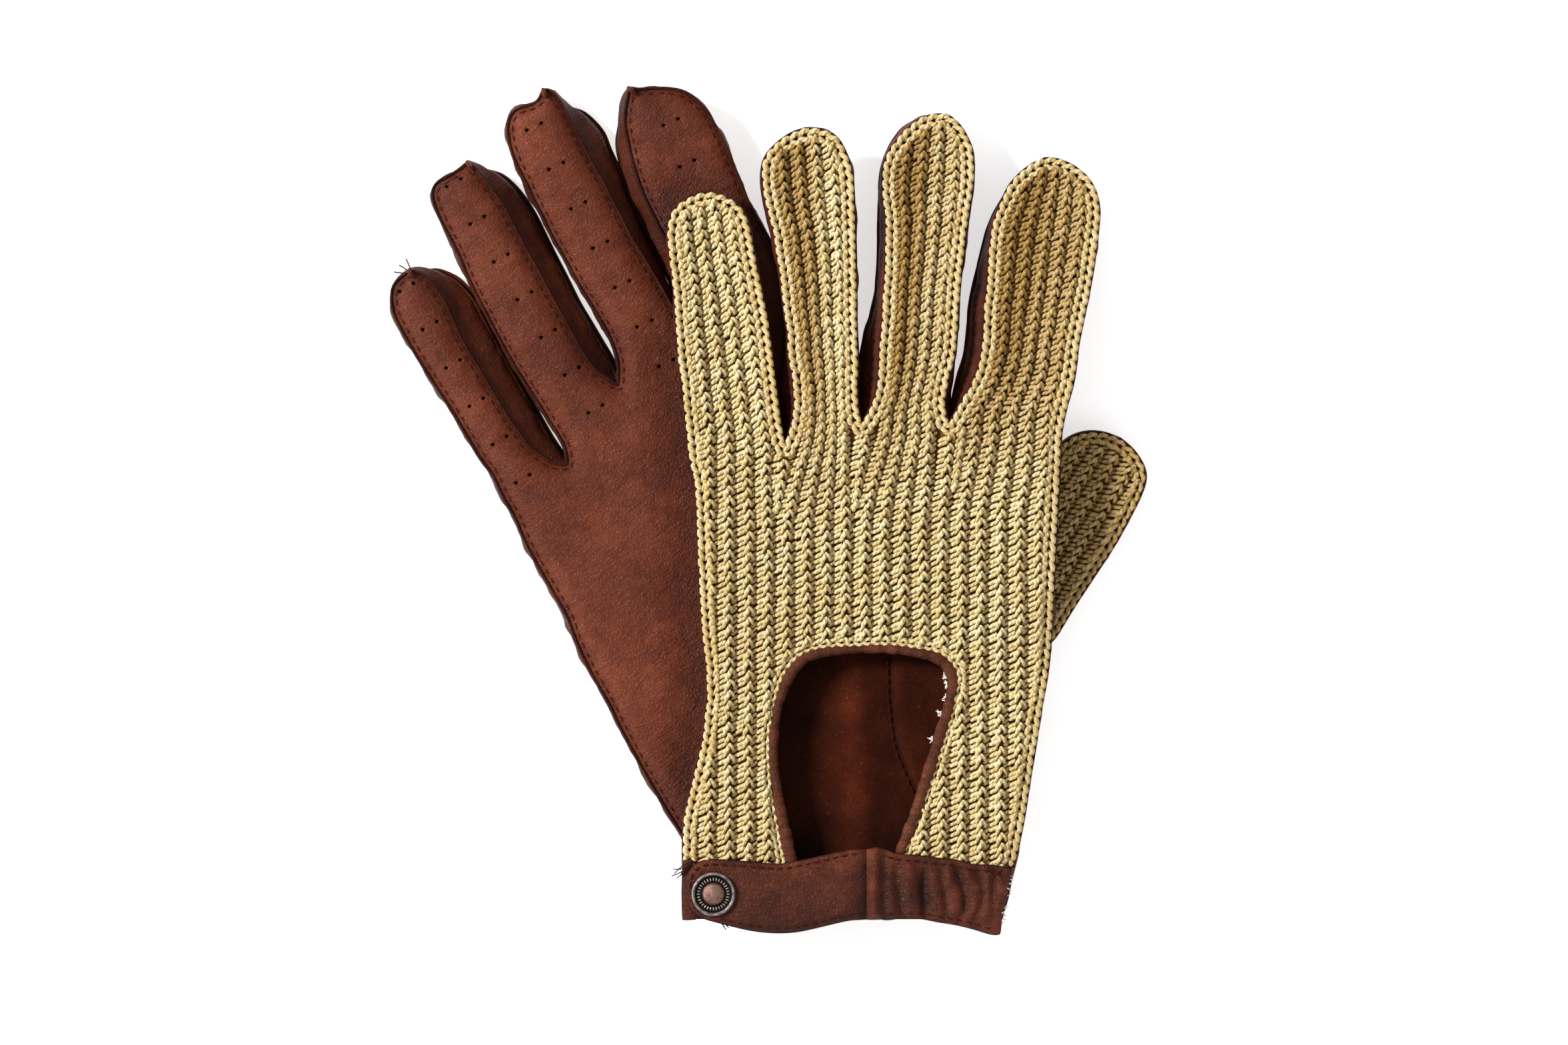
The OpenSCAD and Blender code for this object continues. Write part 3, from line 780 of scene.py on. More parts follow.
# The leather's outline, with the same sections; it shows beyond the knit on the fingers' left sides
LB = [
    [(-45.5, 0), (-46.6, 8), (-47.0, 20), (-46.5, 30), (-44.1, 40), (-41.8, 50), (-40.5, 60), (-40.3, 70), (-41.3, 80), (-42.1, 90), (-42.9, 110),
     (-43.8, 125), (-45.1, 130), (-46.1, 140), (-47.1, 150), (-48.3, 160), (-49.1, 170), (-49.8, 180), (-51.0, 190), (-51.3, 197), (-49.5, 202.4),
     (-45.1, 205.4), (-41, 206.9)],
    [(-41, 206.9), (-37, 206.1), (-32.8, 204.3), (-29.5, 200.1), (-28.1, 195), (-27.2, 190), (-25.1, 180), (-23.3, 170), (-21.9, 160), (-20.7, 150),
     (-19.8, 142), (-18.4, 134.6)],
    [(-18.4, 134.6), (-17.9, 141), (-18.6, 147), (-19.6, 152), (-18.6, 158), (-18.1, 164), (-18.2, 170), (-18.8, 175), (-19.4, 180), (-20.1, 185), (-20.9, 190), (-21.6, 195),
     (-22.9, 200), (-24.1, 205), (-24.7, 210), (-24.4, 215.2), (-22.8, 218.3), (-19.7, 221.4), (-16.6, 223.4), (-12.5, 224.9)],
    [(-12.5, 224.9), (-8, 224.6), (-4.8, 223.3), (-2.7, 221.2), (-0.7, 217), (0.5, 213), (0.9, 210), (1.3, 200), (1.6, 190), (1.8, 180), (1.9, 170), (2.2, 160),
     (2.2, 150), (2.6, 146), (3.2, 141)],
    [(3.2, 141), (3.5, 150), (3.2, 155), (3.5, 160), (4.5, 165), (5, 168), (6.3, 172), (7, 175), (8, 180), (8.5, 185), (8.8, 190), (9, 200),
     (9.4, 210), (9.6, 215), (11, 220), (13.2, 225), (15.8, 228.3), (18.6, 230.3), (21.5, 231.5), (24, 231.2)],
    [(24, 231.2), (28.2, 230.6), (31.2, 228.3), (33.3, 225.1), (35.3, 220), (35.5, 215), (35.3, 210), (34.6, 205), (33.8, 200), (32.5, 190), (31.3, 180),
     (30.6, 170), (30.2, 165), (29.8, 160), (29.3, 155), (28.6, 150), (28.5, 146), (28.8, 141)],
    [(28.8, 141), (29.6, 146), (30.3, 150), (31.5, 155), (33, 160), (33.8, 165), (34.3, 170), (34.7, 175), (35.5, 180), (36.7, 185), (38, 190), (39.3, 195),
     (40.8, 200), (43.2, 205.3), (46.2, 210.3), (48.8, 213.4), (52.4, 216.5), (56.5, 218.4)],
    [(56.5, 218.4), (58.6, 218.4), (62.2, 217.4), (65.8, 215.3), (68.9, 212.2), (70.9, 208), (71.6, 203), (71.2, 198), (70.6, 193), (69.8, 188), (69, 183),
     (68, 178), (66.9, 173), (65.8, 168), (64.8, 163), (64.3, 158), (63.3, 152), (62.1, 148), (61.1, 144), (60.3, 140), (59.8, 136), (59.6, 130),
     (59.1, 120), (58.6, 110), (58.1, 100), (57.6, 90), (57.1, 80), (56.1, 70), (54.3, 60), (52.8, 50), (51.1, 40), (49.6, 30), (47.2, 20), (45.4, 8), (43.3, 0)],
]
THUMB_SIDE = [(59.4, 150), (59.3, 138), (59.2, 130), (58.8, 120), (57.8, 100), (57, 80), (55.8, 70), (54, 60), (52.4, 50), (50.8, 40), (49.2, 30), (46.8, 18)]
RL = [
    [(-41.6, 0), (-42, 12), (-42.1, 22.8), (-42.9, 32.6), (-43.4, 45.6), (-43.6, 60.5), (-43.3, 67.7), (-43.6, 80.1), (-43.1, 89.2), (-42.2, 95.3), (-42.4, 105),
     (-42.7, 113), (-42.6, 121), (-42.0, 128), (-42.2, 134.6), (-41.9, 141.8), (-42.8, 148.1), (-43.1, 154.6), (-43.8, 166.4), (-44.7, 176), (-45.3, 186.2),
     (-45.4, 191.9), (-45.1, 196.2), (-43.6, 200.4), (-41.4, 203.1), (-38.2, 204.1), (-35.6, 204.5)],
    [(-35.6, 204.5), (-34.2, 203.6), (-32.5, 200.9), (-31.6, 196.6), (-31.2, 191.3), (-31.7, 184.1), (-31.9, 179.1), (-31.6, 173.8), (-31.3, 167.3), (-31, 160.8),
     (-30.6, 154.3), (-30, 149.5), (-29.4, 144.8), (-27.2, 139.7), (-24.6, 136), (-21.6, 134.4)],
    [(-21.6, 134.4), (-20.0, 139.3), (-20.3, 147.6), (-20.8, 155.3), (-21.4, 162.1), (-21.8, 168.6), (-21.9, 175.6), (-21.9, 182.6), (-21.8, 188.8), (-21.6, 195.1),
     (-20.9, 202.3), (-20.8, 207.3), (-20.7, 213.6), (-20.2, 218.4), (-19.3, 221.2), (-17.2, 223), (-14.8, 223.3), (-11.7, 223.3), (-8.6, 223.6), (-6.4, 224.2)],
    [(-6.4, 224.2), (-5.4, 221.5), (-5, 219.2), (-4.1, 213.6), (-3.4, 208.1), (-3.4, 200.6), (-3.4, 193.6), (-3.3, 186.6), (-3.4, 179.1), (-3.2, 172.6), (-3.1, 165.6),
     (-3, 161.1), (-2.3, 155.1), (-0.4, 150.8), (1.7, 147.5)],
    [(1.7, 147.5), (3.8, 151), (5.4, 155.4), (6.2, 160.4), (6.2, 166.4), (5.8, 172.9), (5.5, 179.4), (5.4, 186.4), (5.2, 192.9), (5.4, 199.7), (5.5, 205.4), (5.8, 212.1),
     (6, 218.4), (7.1, 224.1), (8.9, 228.3), (11.3, 230.5), (13.8, 231), (16.3, 230.5), (19, 230.2), (21, 231), (22.5, 232.4)],
    [(22.5, 232.4), (23.6, 231.6), (24.5, 229.8), (25.1, 225.9), (25, 220.9), (24.9, 214.7), (24.8, 208.4), (25, 201.9), (24.9, 195.7), (24.9, 189.9), (24.7, 184.4),
     (24.9, 179.9), (25.3, 173.9), (25.6, 167.4), (25.8, 160.4), (26.4, 155), (28.0, 150)],
    [(28.0, 150), (30.0, 156), (31.5, 163), (32.8, 170), (33.4, 177.2), (33.6, 183), (33.8, 190.9), (34.5, 196.9), (35.7, 202.7), (37.2, 208.1), (38.2, 211.5), (39.8, 214.8),
     (42, 218.0), (43.4, 219.6), (44.6, 221.4)],
    [(44.6, 221.4), (46.2, 219.9), (50.1, 218.1), (54.1, 216), (57.6, 213.1), (59.5, 209.6), (60.9, 205), (61, 200.5), (60.9, 194.3), (60.2, 187), (59.5, 180.6),
     (59.1, 175), (59.3, 165)] + THUMB_SIDE + [(45.2, 8), (43.3, 0)],
]
RC = [
    [(-41.8, 15), (-41.8, 22.8), (-42.6, 32.6), (-43.1, 45.6), (-43.3, 60.5), (-43.0, 67.7), (-43.2, 80.1), (-42.8, 89.2), (-41.9, 95.3), (-42.1, 105), (-42.3, 113),
     (-42.2, 121), (-41.7, 128), (-41.8, 134.6), (-41.5, 141.8), (-42.4, 148.1), (-42.8, 154.6), (-43.4, 166.4), (-44.3, 176), (-44.9, 186.2), (-45, 191.9),
     (-44.7, 196.2), (-43.2, 200.1), (-41.0, 202.7), (-38.4, 203.6), (-35.6, 203.9)],
    [(-35.6, 203.9), (-33.9, 203.7), (-31.3, 202.7), (-28.9, 201.6), (-26.6, 199.2), (-24.9, 196.6), (-23.7, 192.9), (-22.9, 188.6), (-23, 183.6), (-23.1, 176.1),
     (-23.1, 169.1), (-22.9, 160), (-22.7, 151.9), (-22.4, 143), (-21.4, 134.2)],
    [(-21.4, 134.2), (-20.1, 139.3), (-20.0, 147.6), (-20.3, 155.3), (-21.1, 162.1), (-21.5, 168.6), (-21.6, 175.6), (-21.6, 182.6), (-21.5, 188.8), (-21.3, 195.1),
     (-20.6, 202.3), (-20.5, 207.3), (-20.4, 213.6), (-19.9, 218.2), (-19, 220.9), (-17, 222.6), (-14.8, 223), (-11.7, 223), (-8.6, 223.1), (-6.4, 223.3)],
    [(-6.4, 223.3), (-4.7, 221.9), (-2.6, 219.9), (0.1, 217.2), (1.8, 213.3), (2.9, 208.4), (3.3, 202), (3.1, 195.7), (2.9, 189.5), (2.8, 182), (2.6, 174.5), (2.9, 168),
     (3.2, 161.5), (3.4, 154.9), (2.4, 151), (1.6, 147.2)],
    [(1.6, 147.2), (5.1, 150.5), (6.2, 155.1), (7.1, 160.4), (6.5, 166.4), (6.1, 172.9), (5.8, 179.4), (5.7, 186.4), (5.4, 192.9), (5.8, 199.7), (5.7, 205.4), (6.1, 212.1),
     (6.3, 218.3), (7.4, 223.9), (9, 227.9), (11.5, 230.2), (13.6, 230.7), (16.3, 230), (19, 229.5), (21, 230.2), (22.5, 231.4)],
    [(22.5, 231.4), (24.5, 230.6), (25.2, 228.8), (26.8, 224.8), (29.3, 222.1), (30.9, 218.2), (31.7, 214), (31.2, 209.7), (30.9, 204.8), (29.9, 197.8), (29.2, 191.8),
     (29, 185.6), (28.5, 178.3), (27.8, 172.3), (27.3, 167.6), (27.0, 162.9), (27.2, 156), (27.9, 149.6)],
    [(27.9, 149.6), (28.7, 156), (29, 162), (29.1, 168.3), (30.2, 179), (30.2, 185.6), (30.4, 191.8), (31.1, 197.8), (32.5, 204.4), (34.3, 209.6), (36.8, 213.2), (39.8, 216.7),
     (41.7, 219.4), (43.2, 220.2), (44.6, 220.6)],
    [(44.6, 220.6), (46.3, 219.2), (49.9, 217.7), (53.9, 215.6), (57.3, 212.8), (59.1, 209.4), (60.6, 204.9), (60.7, 200.5), (60.6, 194.3), (59.9, 187), (59.1, 180.6),
     (58.8, 175), (59, 165)] + THUMB_SIDE + [(46.2, 15)],
]


def sections(secs, step=None, counts=None):
    """Evenly spaced points on each section; counts fixes how many, so that two outlines match."""
    out = []
    for i, s in enumerate(secs):
        c = curve(s, 0.6, False)
        n = counts[i] if counts else max(4, int(round(arc(c)[-1] / step)) + 1)
        out.append(resample_n(c, n))
    return out


def loop_of(secs):
    return np.concatenate([s[:-1] for s in secs[:-1]] + [secs[-1]])


KEY_OUT = [(-18.6, 14), (-18.6, 16.8), (-19.4, 21.2), (-20.7, 28.1), (-22, 35), (-22.9, 43.6), (-23.1, 50.5), (-22.5, 56.6), (-21.2, 62.6), (-19.4, 68.7), (-16.8, 73), (-12.5, 76.4),
           (-5.6, 77.9), (2.2, 78.3), (9.9, 78.6), (15.1, 78.3), (20.3, 77.5), (25.5, 76.4), (28.5, 74.3), (31.1, 70), (30.2, 63.5), (28.9, 57.4), (26.8, 50.5), (23.7, 41),
           (20.3, 31.5), (16.8, 22.9), (15.5, 18.6), (15.0, 14)]
KEY_IN = [(-14.7, 14), (-14.7, 17.3), (-16, 22.9), (-17.3, 28.1), (-18.6, 35), (-19.9, 43.6), (-20.1, 50.5), (-19.9, 56.6), (-18.6, 61.7), (-16.4, 66.9), (-14.2, 70.8), (-10.8, 73.7),
          (-4.7, 75.4), (2.2, 75.8), (9.9, 75.9), (15.1, 75.4), (20.3, 74.3), (24.6, 72.5), (27.2, 70), (27.8, 65.2), (26.8, 59.2), (24.2, 53.1), (22.5, 46.2), (20.3, 39.3),
          (18.1, 31.5), (15.1, 23.7), (13.6, 18.6), (13.2, 14)]

LIFT = {"left": 1.6, "right": 0.0}
STRAP_TOP = [(-46, 12.5), (-44.3, 15.4), (-41.8, 16.9), (-39, 17.3), (-30, 16.8), (-20, 16), (-15, 16.8), (-10, 17.8), (-5, 19), (0, 20), (5, 20.4), (8, 20.8), (14, 19), (20, 18.5),
             (25, 17.8), (30, 17.3), (35, 16), (40, 15.8), (45.3, 15)]
SIDES = {}


def left_outline_in(place):
    """The left glove's leather outline in another place's millimetres."""
    L = SIDES["left"]["B_loop"]
    X, Y = SIDES["left"]["place"].xy(L[:, 0], L[:, 1])
    x, y = place.inv(X, Y)
    return np.stack([x, y], 1)


# ------------------------------------------------------------------ knit
def knit_cells(b, ribs, top_w, clip, seed, K=6, R=4, pitch=3.05, tone=None, clip_strand=None):
    """Rows of knit stitches. ribs is a list of (path (n,2), width) with the rib's right side to the right of travel."""
    rg = rng_for(seed)
    C, D, Wd = [], [], []
    for ri, (path, wid) in enumerate(ribs):
        s = arc(path)
        at = np.arange(0.5 + (ri % 2) * 0.7, s[-1], pitch)
        x, y = np.interp(at, s, path[:, 0]), np.interp(at, s, path[:, 1])
        x2, y2 = np.interp(at + 0.5, s, path[:, 0]), np.interp(at + 0.5, s, path[:, 1])
        x1, y1 = np.interp(at - 0.5, s, path[:, 0]), np.interp(at - 0.5, s, path[:, 1])
        d = np.stack([x2 - x1, y2 - y1], 1)
        d /= np.maximum(np.linalg.norm(d, axis=1), 1e-9)[:, None]
        C.append(np.stack([x, y], 1))
        D.append(d)
        Wd.append(np.interp(at, s, wid))
    C, D, Wd = np.concatenate(C), np.concatenate(D), np.concatenate(Wd)
    keep = clip(C[:, 0], C[:, 1])
    C, D, Wd = C[keep], D[keep], Wd[keep]
    n = len(C)
    if not n:
        return
    # strands of one cell in (u, v, h): u across in rib pitches, v along in stitch pitches; the last number of each
    # strand is painted shade: the hook and the valley strands are painted darker as they lie deeper
    cell = [
        ([(-0.10, -0.28, 1.55), (-0.06, 0.10, 2.25), (0.06, 0.42, 2.45), (0.15, 0.80, 1.95)], 0.60, 1.0),      # the long stroke of the ridge
        ([(0.10, 0.78, 1.75), (0.19, 0.62, 2.15), (0.27, 0.40, 1.95), (0.31, 0.12, 1.30)], 0.52, 0.92),        # its hook
        ([(-0.47, -0.10, 0.85), (-0.36, 0.04, 1.55), (-0.24, 0.17, 1.95), (-0.08, 0.34, 1.80)], 0.56, 1.0),    # left slope
        ([(-0.45, 0.42, 0.85), (-0.34, 0.54, 1.5), (-0.22, 0.66, 1.85), (-0.06, 0.84, 1.70)], 0.54, 0.97),
        ([(0.22, 0.00, 1.15), (0.34, 0.10, 0.85), (0.44, 0.24, 0.62), (0.56, 0.40, 0.70)], 0.50, 0.80),        # valley
        ([(0.22, 0.50, 1.15), (0.33, 0.60, 0.80), (0.44, 0.74, 0.58), (0.56, 0.90, 0.66)], 0.48, 0.78),
    ]
    M = len(cell)
    S = np.array([[p for p in c[0]] for c in cell])          # (M,4,3)
    rad = np.array([c[1] for c in cell])
    tn = np.array([c[2] for c in cell])
    if R != 4:
        t = np.linspace(0, 3, R)
        S = np.stack([np.stack([np.interp(t, np.arange(4), S[m, :, k]) for k in range(3)], 1) for m in range(M)])
    jit = rg.normal(0, 1, (n, M, 1, 3)) * np.array([0.022, 0.05, 0.10])
    Q = S[None] + jit
    # a slower wander along each rib keeps rows from looking printed
    wob = vnoise(C[:, 0] * 0.35, C[:, 1] * 0.22, seed + 5)[:, None, None] * 0.05
    u = (Q[..., 0] + wob) * Wd[:, None, None]
    v = Q[..., 1] * pitch
    rx, ry = D[:, 1][:, None, None], -D[:, 0][:, None, None]
    X = C[:, 0][:, None, None] + u * rx + v * D[:, 0][:, None, None]
    Y = C[:, 1][:, None, None] + u * ry + v * D[:, 1][:, None, None]
    Wt = top_w(X.ravel(), Y.ravel()).reshape(X.shape) + Q[..., 2]
    P = np.stack([X, Y, Wt], -1).reshape(n * M, S.shape[1], 3)
    shape = np.array([0.8, 1.06, 1.06, 0.8]) if S.shape[1] == 4 else np.interp(np.linspace(0, 3, S.shape[1]), np.arange(4), [0.8, 1.06, 1.06, 0.8])
    r = (rad[None, :, None] * (1 + rg.normal(0, 0.06, (n, M, 1))) * shape[None, None]).reshape(n * M, -1)
    tn = np.tile(tn, n)
    if clip_strand is not None:
        ok = clip_strand(P[:, 1:3, 0].mean(1), P[:, 1:3, 1].mean(1))
        P, r, tn = P[ok], r[ok], tn[ok]
    p, q, t, uv, idx = strands(P, r, K)
    rnd = rg.uniform(0, 1, len(P))[idx]
    dk = tn[idx]
    if tone is not None:
        dk = dk * tone(p[:, 0], p[:, 1])
    b.add(p, [q, t], 0, rnd=rnd, dk=dk, uv=uv)


def chain(b, path, wfn, pitch=2.75, half=1.28, r=0.72, seed=2, K=7, closed=False, h0=0.55, tone=1.0):
    """A crocheted chain edge: nested V links along a path."""
    rg = rng_for(seed)
    s = arc(path)
    at = np.arange(0.2, s[-1] - 0.5, pitch)
    n = len(at)
    nn = normals2(path, closed)
    S = []
    for sg in (-1, 1):
        S.append([(sg * 0.08, -0.34, 0.05), (sg * 0.56, 0.02, 0.72), (sg * 0.96, 0.36, 1.00), (sg * 0.92, 0.70, 0.72), (sg * 0.55, 0.98, 0.0)])
    S = np.array(S)
    Q = S[None] + rg.normal(0, 1, (n, 2, 1, 3)) * np.array([0.05, 0.04, 0.05])
    u = Q[..., 0] * half
    pos = at[:, None, None] + Q[..., 1] * pitch
    X, Y = np.interp(pos, s, path[:, 0]), np.interp(pos, s, path[:, 1])
    NX, NY = np.interp(pos, s, nn[:, 0]), np.interp(pos, s, nn[:, 1])
    X, Y = X + u * NX, Y + u * NY
    Wt = wfn(X.ravel(), Y.ravel()).reshape(X.shape) + h0 + Q[..., 2] * 1.05
    P = np.stack([X, Y, Wt], -1).reshape(n * 2, 5, 3)
    rr = (r * (1 + rg.normal(0, 0.05, (n * 2, 1))) * np.array([0.7, 1.05, 1.1, 1.0, 0.7])[None])
    p, q, t, uv, idx = strands(P, rr, K)
    b.add(p, [q, t], 0, rnd=rg.uniform(0, 1, n * 2)[idx], dk=tone, uv=uv)
    # outer bars that hold the chain to the edge
    at = np.arange(0.9, s[-1] - 0.5, pitch)
    Q = np.array([[(0.75, 0.1, 0.72), (1.12, 0.28, 0.32), (1.22, 0.46, -0.35), (1.0, 0.60, -0.95)], [(-0.72, 0.1, 0.62), (-1.0, 0.3, 0.2), (-1.1, 0.5, -0.3), (-1.05, 0.7, -0.7)]])[None] + rg.normal(0, 0.05, (len(at), 2, 1, 3))
    u = Q[..., 0] * half
    pos = at[:, None, None] + Q[..., 1] * pitch
    X, Y = np.interp(pos, s, path[:, 0]), np.interp(pos, s, path[:, 1])
    NX, NY = np.interp(pos, s, nn[:, 0]), np.interp(pos, s, nn[:, 1])
    X, Y = X + u * NX, Y + u * NY
    Wt = wfn(X.ravel(), Y.ravel()).reshape(X.shape) + h0 + Q[..., 2] * 1.05
    P = np.stack([X, Y, Wt], -1).reshape(-1, 4, 3)
    p, q, t, uv, idx = strands(P, np.full(P.shape[:2], r * 0.82), 6)
    # the bars dip down to the edge and are painted 10% darker: painted shade
    b.add(p, [q, t], 0, rnd=rg.uniform(0, 1, len(P))[idx], dk=0.9 * tone, uv=uv)


def knit_ribs(side, T):
    """The rib lines of a back: straight on the hand, each running on into a finger."""
    fing = [(0, 1), (2, 3), (4, 5), (6, 7)]
    counts = [4, 4, 4, 5]
    first = [0, 4, 8, 13]
    x0 = -40.1 if side == "left" else -39.0
    dx = 5.5 if side == "left" else 5.45
    ribs, lines = [], {}
    yy = np.arange(13, 236, 1.0)
    for fi, (a, c) in enumerate(fing):
        L, Rr = T[a], T[c][::-1]
        tip = max(L[:, 1].max(), Rr[:, 1].max())
        y0 = max(L[:, 1].min(), Rr[:, 1].min()) if fi else 134.5
        y0 = max(y0, 142.0 if fi else 136)
        ylo, yhi = y0 + 2, tip - 13
        lx = lambda y: np.interp(y, L[:, 1], L[:, 0]) if fi else np.interp(y, L[:, 1], L[:, 0])
        ls = L[np.argsort(L[:, 1], kind="stable")]
        rs = Rr[np.argsort(Rr[:, 1], kind="stable")]
        fl = lambda y: np.interp(y, ls[:, 1], ls[:, 0])
        fr = lambda y: np.interp(y, rs[:, 1], rs[:, 0])
        n = counts[fi]
        for j in range(n):
            k = first[fi] + j
            xp = x0 + dx * k
            fy = np.clip(yy, ylo, yhi)
            lft, rgt = fl(fy) + 2.7, fr(fy) - 2.7
            xf = lft + (rgt - lft) * (j + 0.5) / n
            # beyond the last full-width row the ribs run on straight
            e = 6.0
            sl0 = fl(np.array([yhi])) + (fr(np.array([yhi])) - fl(np.array([yhi]))) * (j + 0.5) / n
            sl1 = fl(np.array([yhi - e])) + (fr(np.array([yhi - e])) - fl(np.array([yhi - e]))) * (j + 0.5) / n
            xf = xf + (yy > yhi) * (yy - yhi) * (sl0 - sl1)[0] / e
            t = sstep(yy, 110, 143)
            x = xp * (1 - t) + xf * t
            wid = dx * (1 - t) + ((rgt - lft) / n) * t
            m = yy < tip
            lines[k] = x
            ribs.append((np.stack([x[m], yy[m]], 1), wid[m]))
    # one rib ends between the middle and index fingers
    xp = x0 + dx * 12
    m = yy < 140
    x = xp + sstep(yy, 110, 143) * (28.4 - xp)
    lines[12] = x
    ribs.append((np.stack([x[m], yy[m]], 1), np.full(m.sum(), dx)))
    # narrow ribs where two neighbours part on their way into the fingers
    for a, c in ((3, 4), (7, 8), (11, 12), (12, 13)):
        gap = lines[c] - lines[a] - dx
        m = (gap > 0.5) & (yy < 141) & (yy > 100)
        if m.sum() > 4:
            ribs.append((np.stack([(lines[a] + lines[c])[m] / 2, yy[m]], 1), np.clip(gap[m] + 1.6, 2.0, 5.6)))
    # half ribs along the two side borders
    for k in (-1, 18):
        xb = x0 + dx * k + 0 * yy
        m = yy < 134
        ribs.append((np.stack([xb[m], yy[m]], 1), np.full(m.sum(), dx)))
    return ribs


# ------------------------------------------------------------------ materials
def leather(name, dark, mid_c, light, grain=1.0, rough=0.37, spec=0.17, coat=0.0, crease=1.0):
    n = N(name)
    lc = n.attr("lc").outputs["Vector"]
    dk = n.attr("dk").outputs["Fac"]
    big = n.noise(lc, 0.035, 3.0, 0.55)
    mott = n.noise(lc, 0.22, 4.0, 0.6, 0.4)
    fine = n.noise(lc, 2.6, 3.0, 0.6)
    v = n.math("ADD", n.math("MULTIPLY", big, 0.6), n.math("MULTIPLY", mott, 0.4))
    col = n.ramp(v, [(0.34, dark), (0.5, mid_c), (0.66, light)])
    col = n.mix(n.remap(fine, 0.35, 0.75, 0.0, 0.22), col, dark)
    # pores: the darker net between the grains
    vor = n.voronoi(lc, 1.15 * grain, "DISTANCE_TO_EDGE")
    pore = n.remap(vor, 0.0, 0.14, 1.0, 0.0)
    col = n.mix(n.math("MULTIPLY", pore, 0.28), col, tuple(c * 0.45 for c in dark))
    shade = n.add("CombineColor", {0: dk, 1: dk, 2: dk}).outputs[0]
    col = n.mix(1.0, col, shade, "MULTIPLY")
    # fine creases that run across the finger or strap
    cr = n.noise(lc, 0.55, 4.0, 0.62, 0.9, stretch=(0.55, 1.7, 1.0))
    cr2 = n.noise(lc, 1.3, 3.0, 0.6, 0.6, stretch=(0.8, 1.5, 1.0))
    hgt = n.math("ADD", n.math("MULTIPLY", n.remap(vor, 0.0, 0.22, 0.0, 1.0), 0.10), n.math("MULTIPLY", cr, 0.55 * crease))
    hgt = n.math("ADD", hgt, n.math("MULTIPLY", cr2, 0.16))
    nb = n.bump(hgt, 0.0014, 0.7)
    rg = n.remap(n.math("ADD", n.math("MULTIPLY", mott, 0.6), n.math("MULTIPLY", pore, 0.4)), 0.2, 0.8, rough - 0.05, rough + 0.14)
    MATS[name] = n.finish(Base_Color=col, Roughness=rg, Normal=nb, Specular_IOR_Level=spec, Coat_Weight=coat, Coat_Roughness=0.35, Sheen_Weight=0.0)


leather("leather", srgb(74, 27, 12), srgb(97, 40, 18), srgb(118, 56, 31), grain=0.9, crease=1.25)
leather("leather_strap", srgb(50, 17, 7), srgb(77, 31, 13), srgb(112, 54, 30), grain=0.9, crease=1.15)
# a darker copy of the leather for the side strips, the gussets and the thumb's wall: the darkening is painted shade on
# faces that turn away from the light
leather("leather_side", srgb(54, 18, 8), srgb(78, 31, 13), srgb(100, 44, 22), rough=0.5)
leather("leather_roll", srgb(58, 25, 12), srgb(88, 43, 23), srgb(112, 59, 36), rough=0.42, crease=1.4)
leather("leather_edge", srgb(34, 10, 5), srgb(54, 19, 9), srgb(78, 32, 17), rough=0.65, spec=0.12)

n = N("suede")
lc = n.attr("lc").outputs["Vector"]
v1 = n.noise(lc, 0.08, 3.0, 0.6)
v2 = n.noise(lc, 1.9, 4.0, 0.7)
col = n.ramp(n.math("ADD", n.math("MULTIPLY", v1, 0.55), n.math("MULTIPLY", v2, 0.45)), [(0.36, srgb(40, 11, 5)), (0.5, srgb(64, 22, 9)), (0.64, srgb(86, 35, 17))])
sp = n.noise(lc, 1.25, 1.0, 0.5)
col = n.mix(n.remap(sp, 0.70, 0.78, 0.0, 0.45), col, srgb(150, 92, 62))
dk = n.attr("dk").outputs["Fac"]
col = n.mix(1.0, col, n.add("CombineColor", {0: dk, 1: dk, 2: dk}).outputs[0], "MULTIPLY")
fz = n.noise(lc, 3.4, 4.0, 0.75, 0.5)
MATS["suede"] = n.finish(Base_Color=col, Roughness=0.95, Normal=n.bump(fz, 0.0007, 0.8), Specular_IOR_Level=0.06, Sheen_Weight=0.08, Sheen_Roughness=0.6, Sheen_Tint=(0.6, 0.25, 0.12, 1))

n = N("yarn")
lc = n.attr("lc").outputs["Vector"]
rnd = n.attr("rnd").outputs["Fac"]
dk = n.attr("dk").outputs["Fac"]
uvn = n.add("UVMap", uv_map="st")
sx = n.add("SeparateXYZ", {0: uvn.outputs[0]})
# two plies twisted round each other: bands that climb round the strand
ph = n.math("ADD", n.math("MULTIPLY", sx.outputs[0], 4.4), n.math("MULTIPLY", sx.outputs[1], 12.566))
ply = n.math("MULTIPLY_ADD", n.math("SINE", ph), 0.5, 0.5)
fib = n.noise(lc, 3.2, 3.0, 0.7, 0.8)
area_v = n.noise(lc, 0.06, 3.0, 0.6)
t = n.math("ADD", n.math("MULTIPLY", rnd, 0.45), n.math("MULTIPLY", area_v, 0.55))
col = n.ramp(t, [(0.15, srgb(210, 186, 128)), (0.45, srgb(228, 208, 154)), (0.75, srgb(239, 224, 180))])
# the grooves between the twisted plies are painted darker: painted shade
col = n.mix(n.remap(ply, 0.0, 0.45, 0.42, 0.0), col, srgb(158, 124, 64))
col = n.mix(n.remap(fib, 0.35, 0.6, 0.25, 0.0), col, srgb(190, 160, 98))
# yarn with a low dk is painted darker and more ochre: painted shade, carried in from the knit's masks (the rib's
# valleys, beside the borders, the fingers' left halves, the tucked-under left thumb)
col = n.mix(n.remap(dk, 0.55, 1.0, 0.92, 0.0), col, srgb(168, 130, 66))
col = n.mix(n.remap(dk, 0.25, 0.62, 0.85, 0.0), col, srgb(104, 70, 24))
MATS["yarn"] = n.finish(Base_Color=col, Roughness=0.78, Normal=n.bump(n.math("ADD", n.math("MULTIPLY", ply, 0.8), n.math("MULTIPLY", fib, 0.35)), 0.00034, 1.0),
                        Specular_IOR_Level=0.12, Sheen_Weight=0.04, Sheen_Roughness=0.5, Sheen_Tint=(1, 0.93, 0.75, 1))
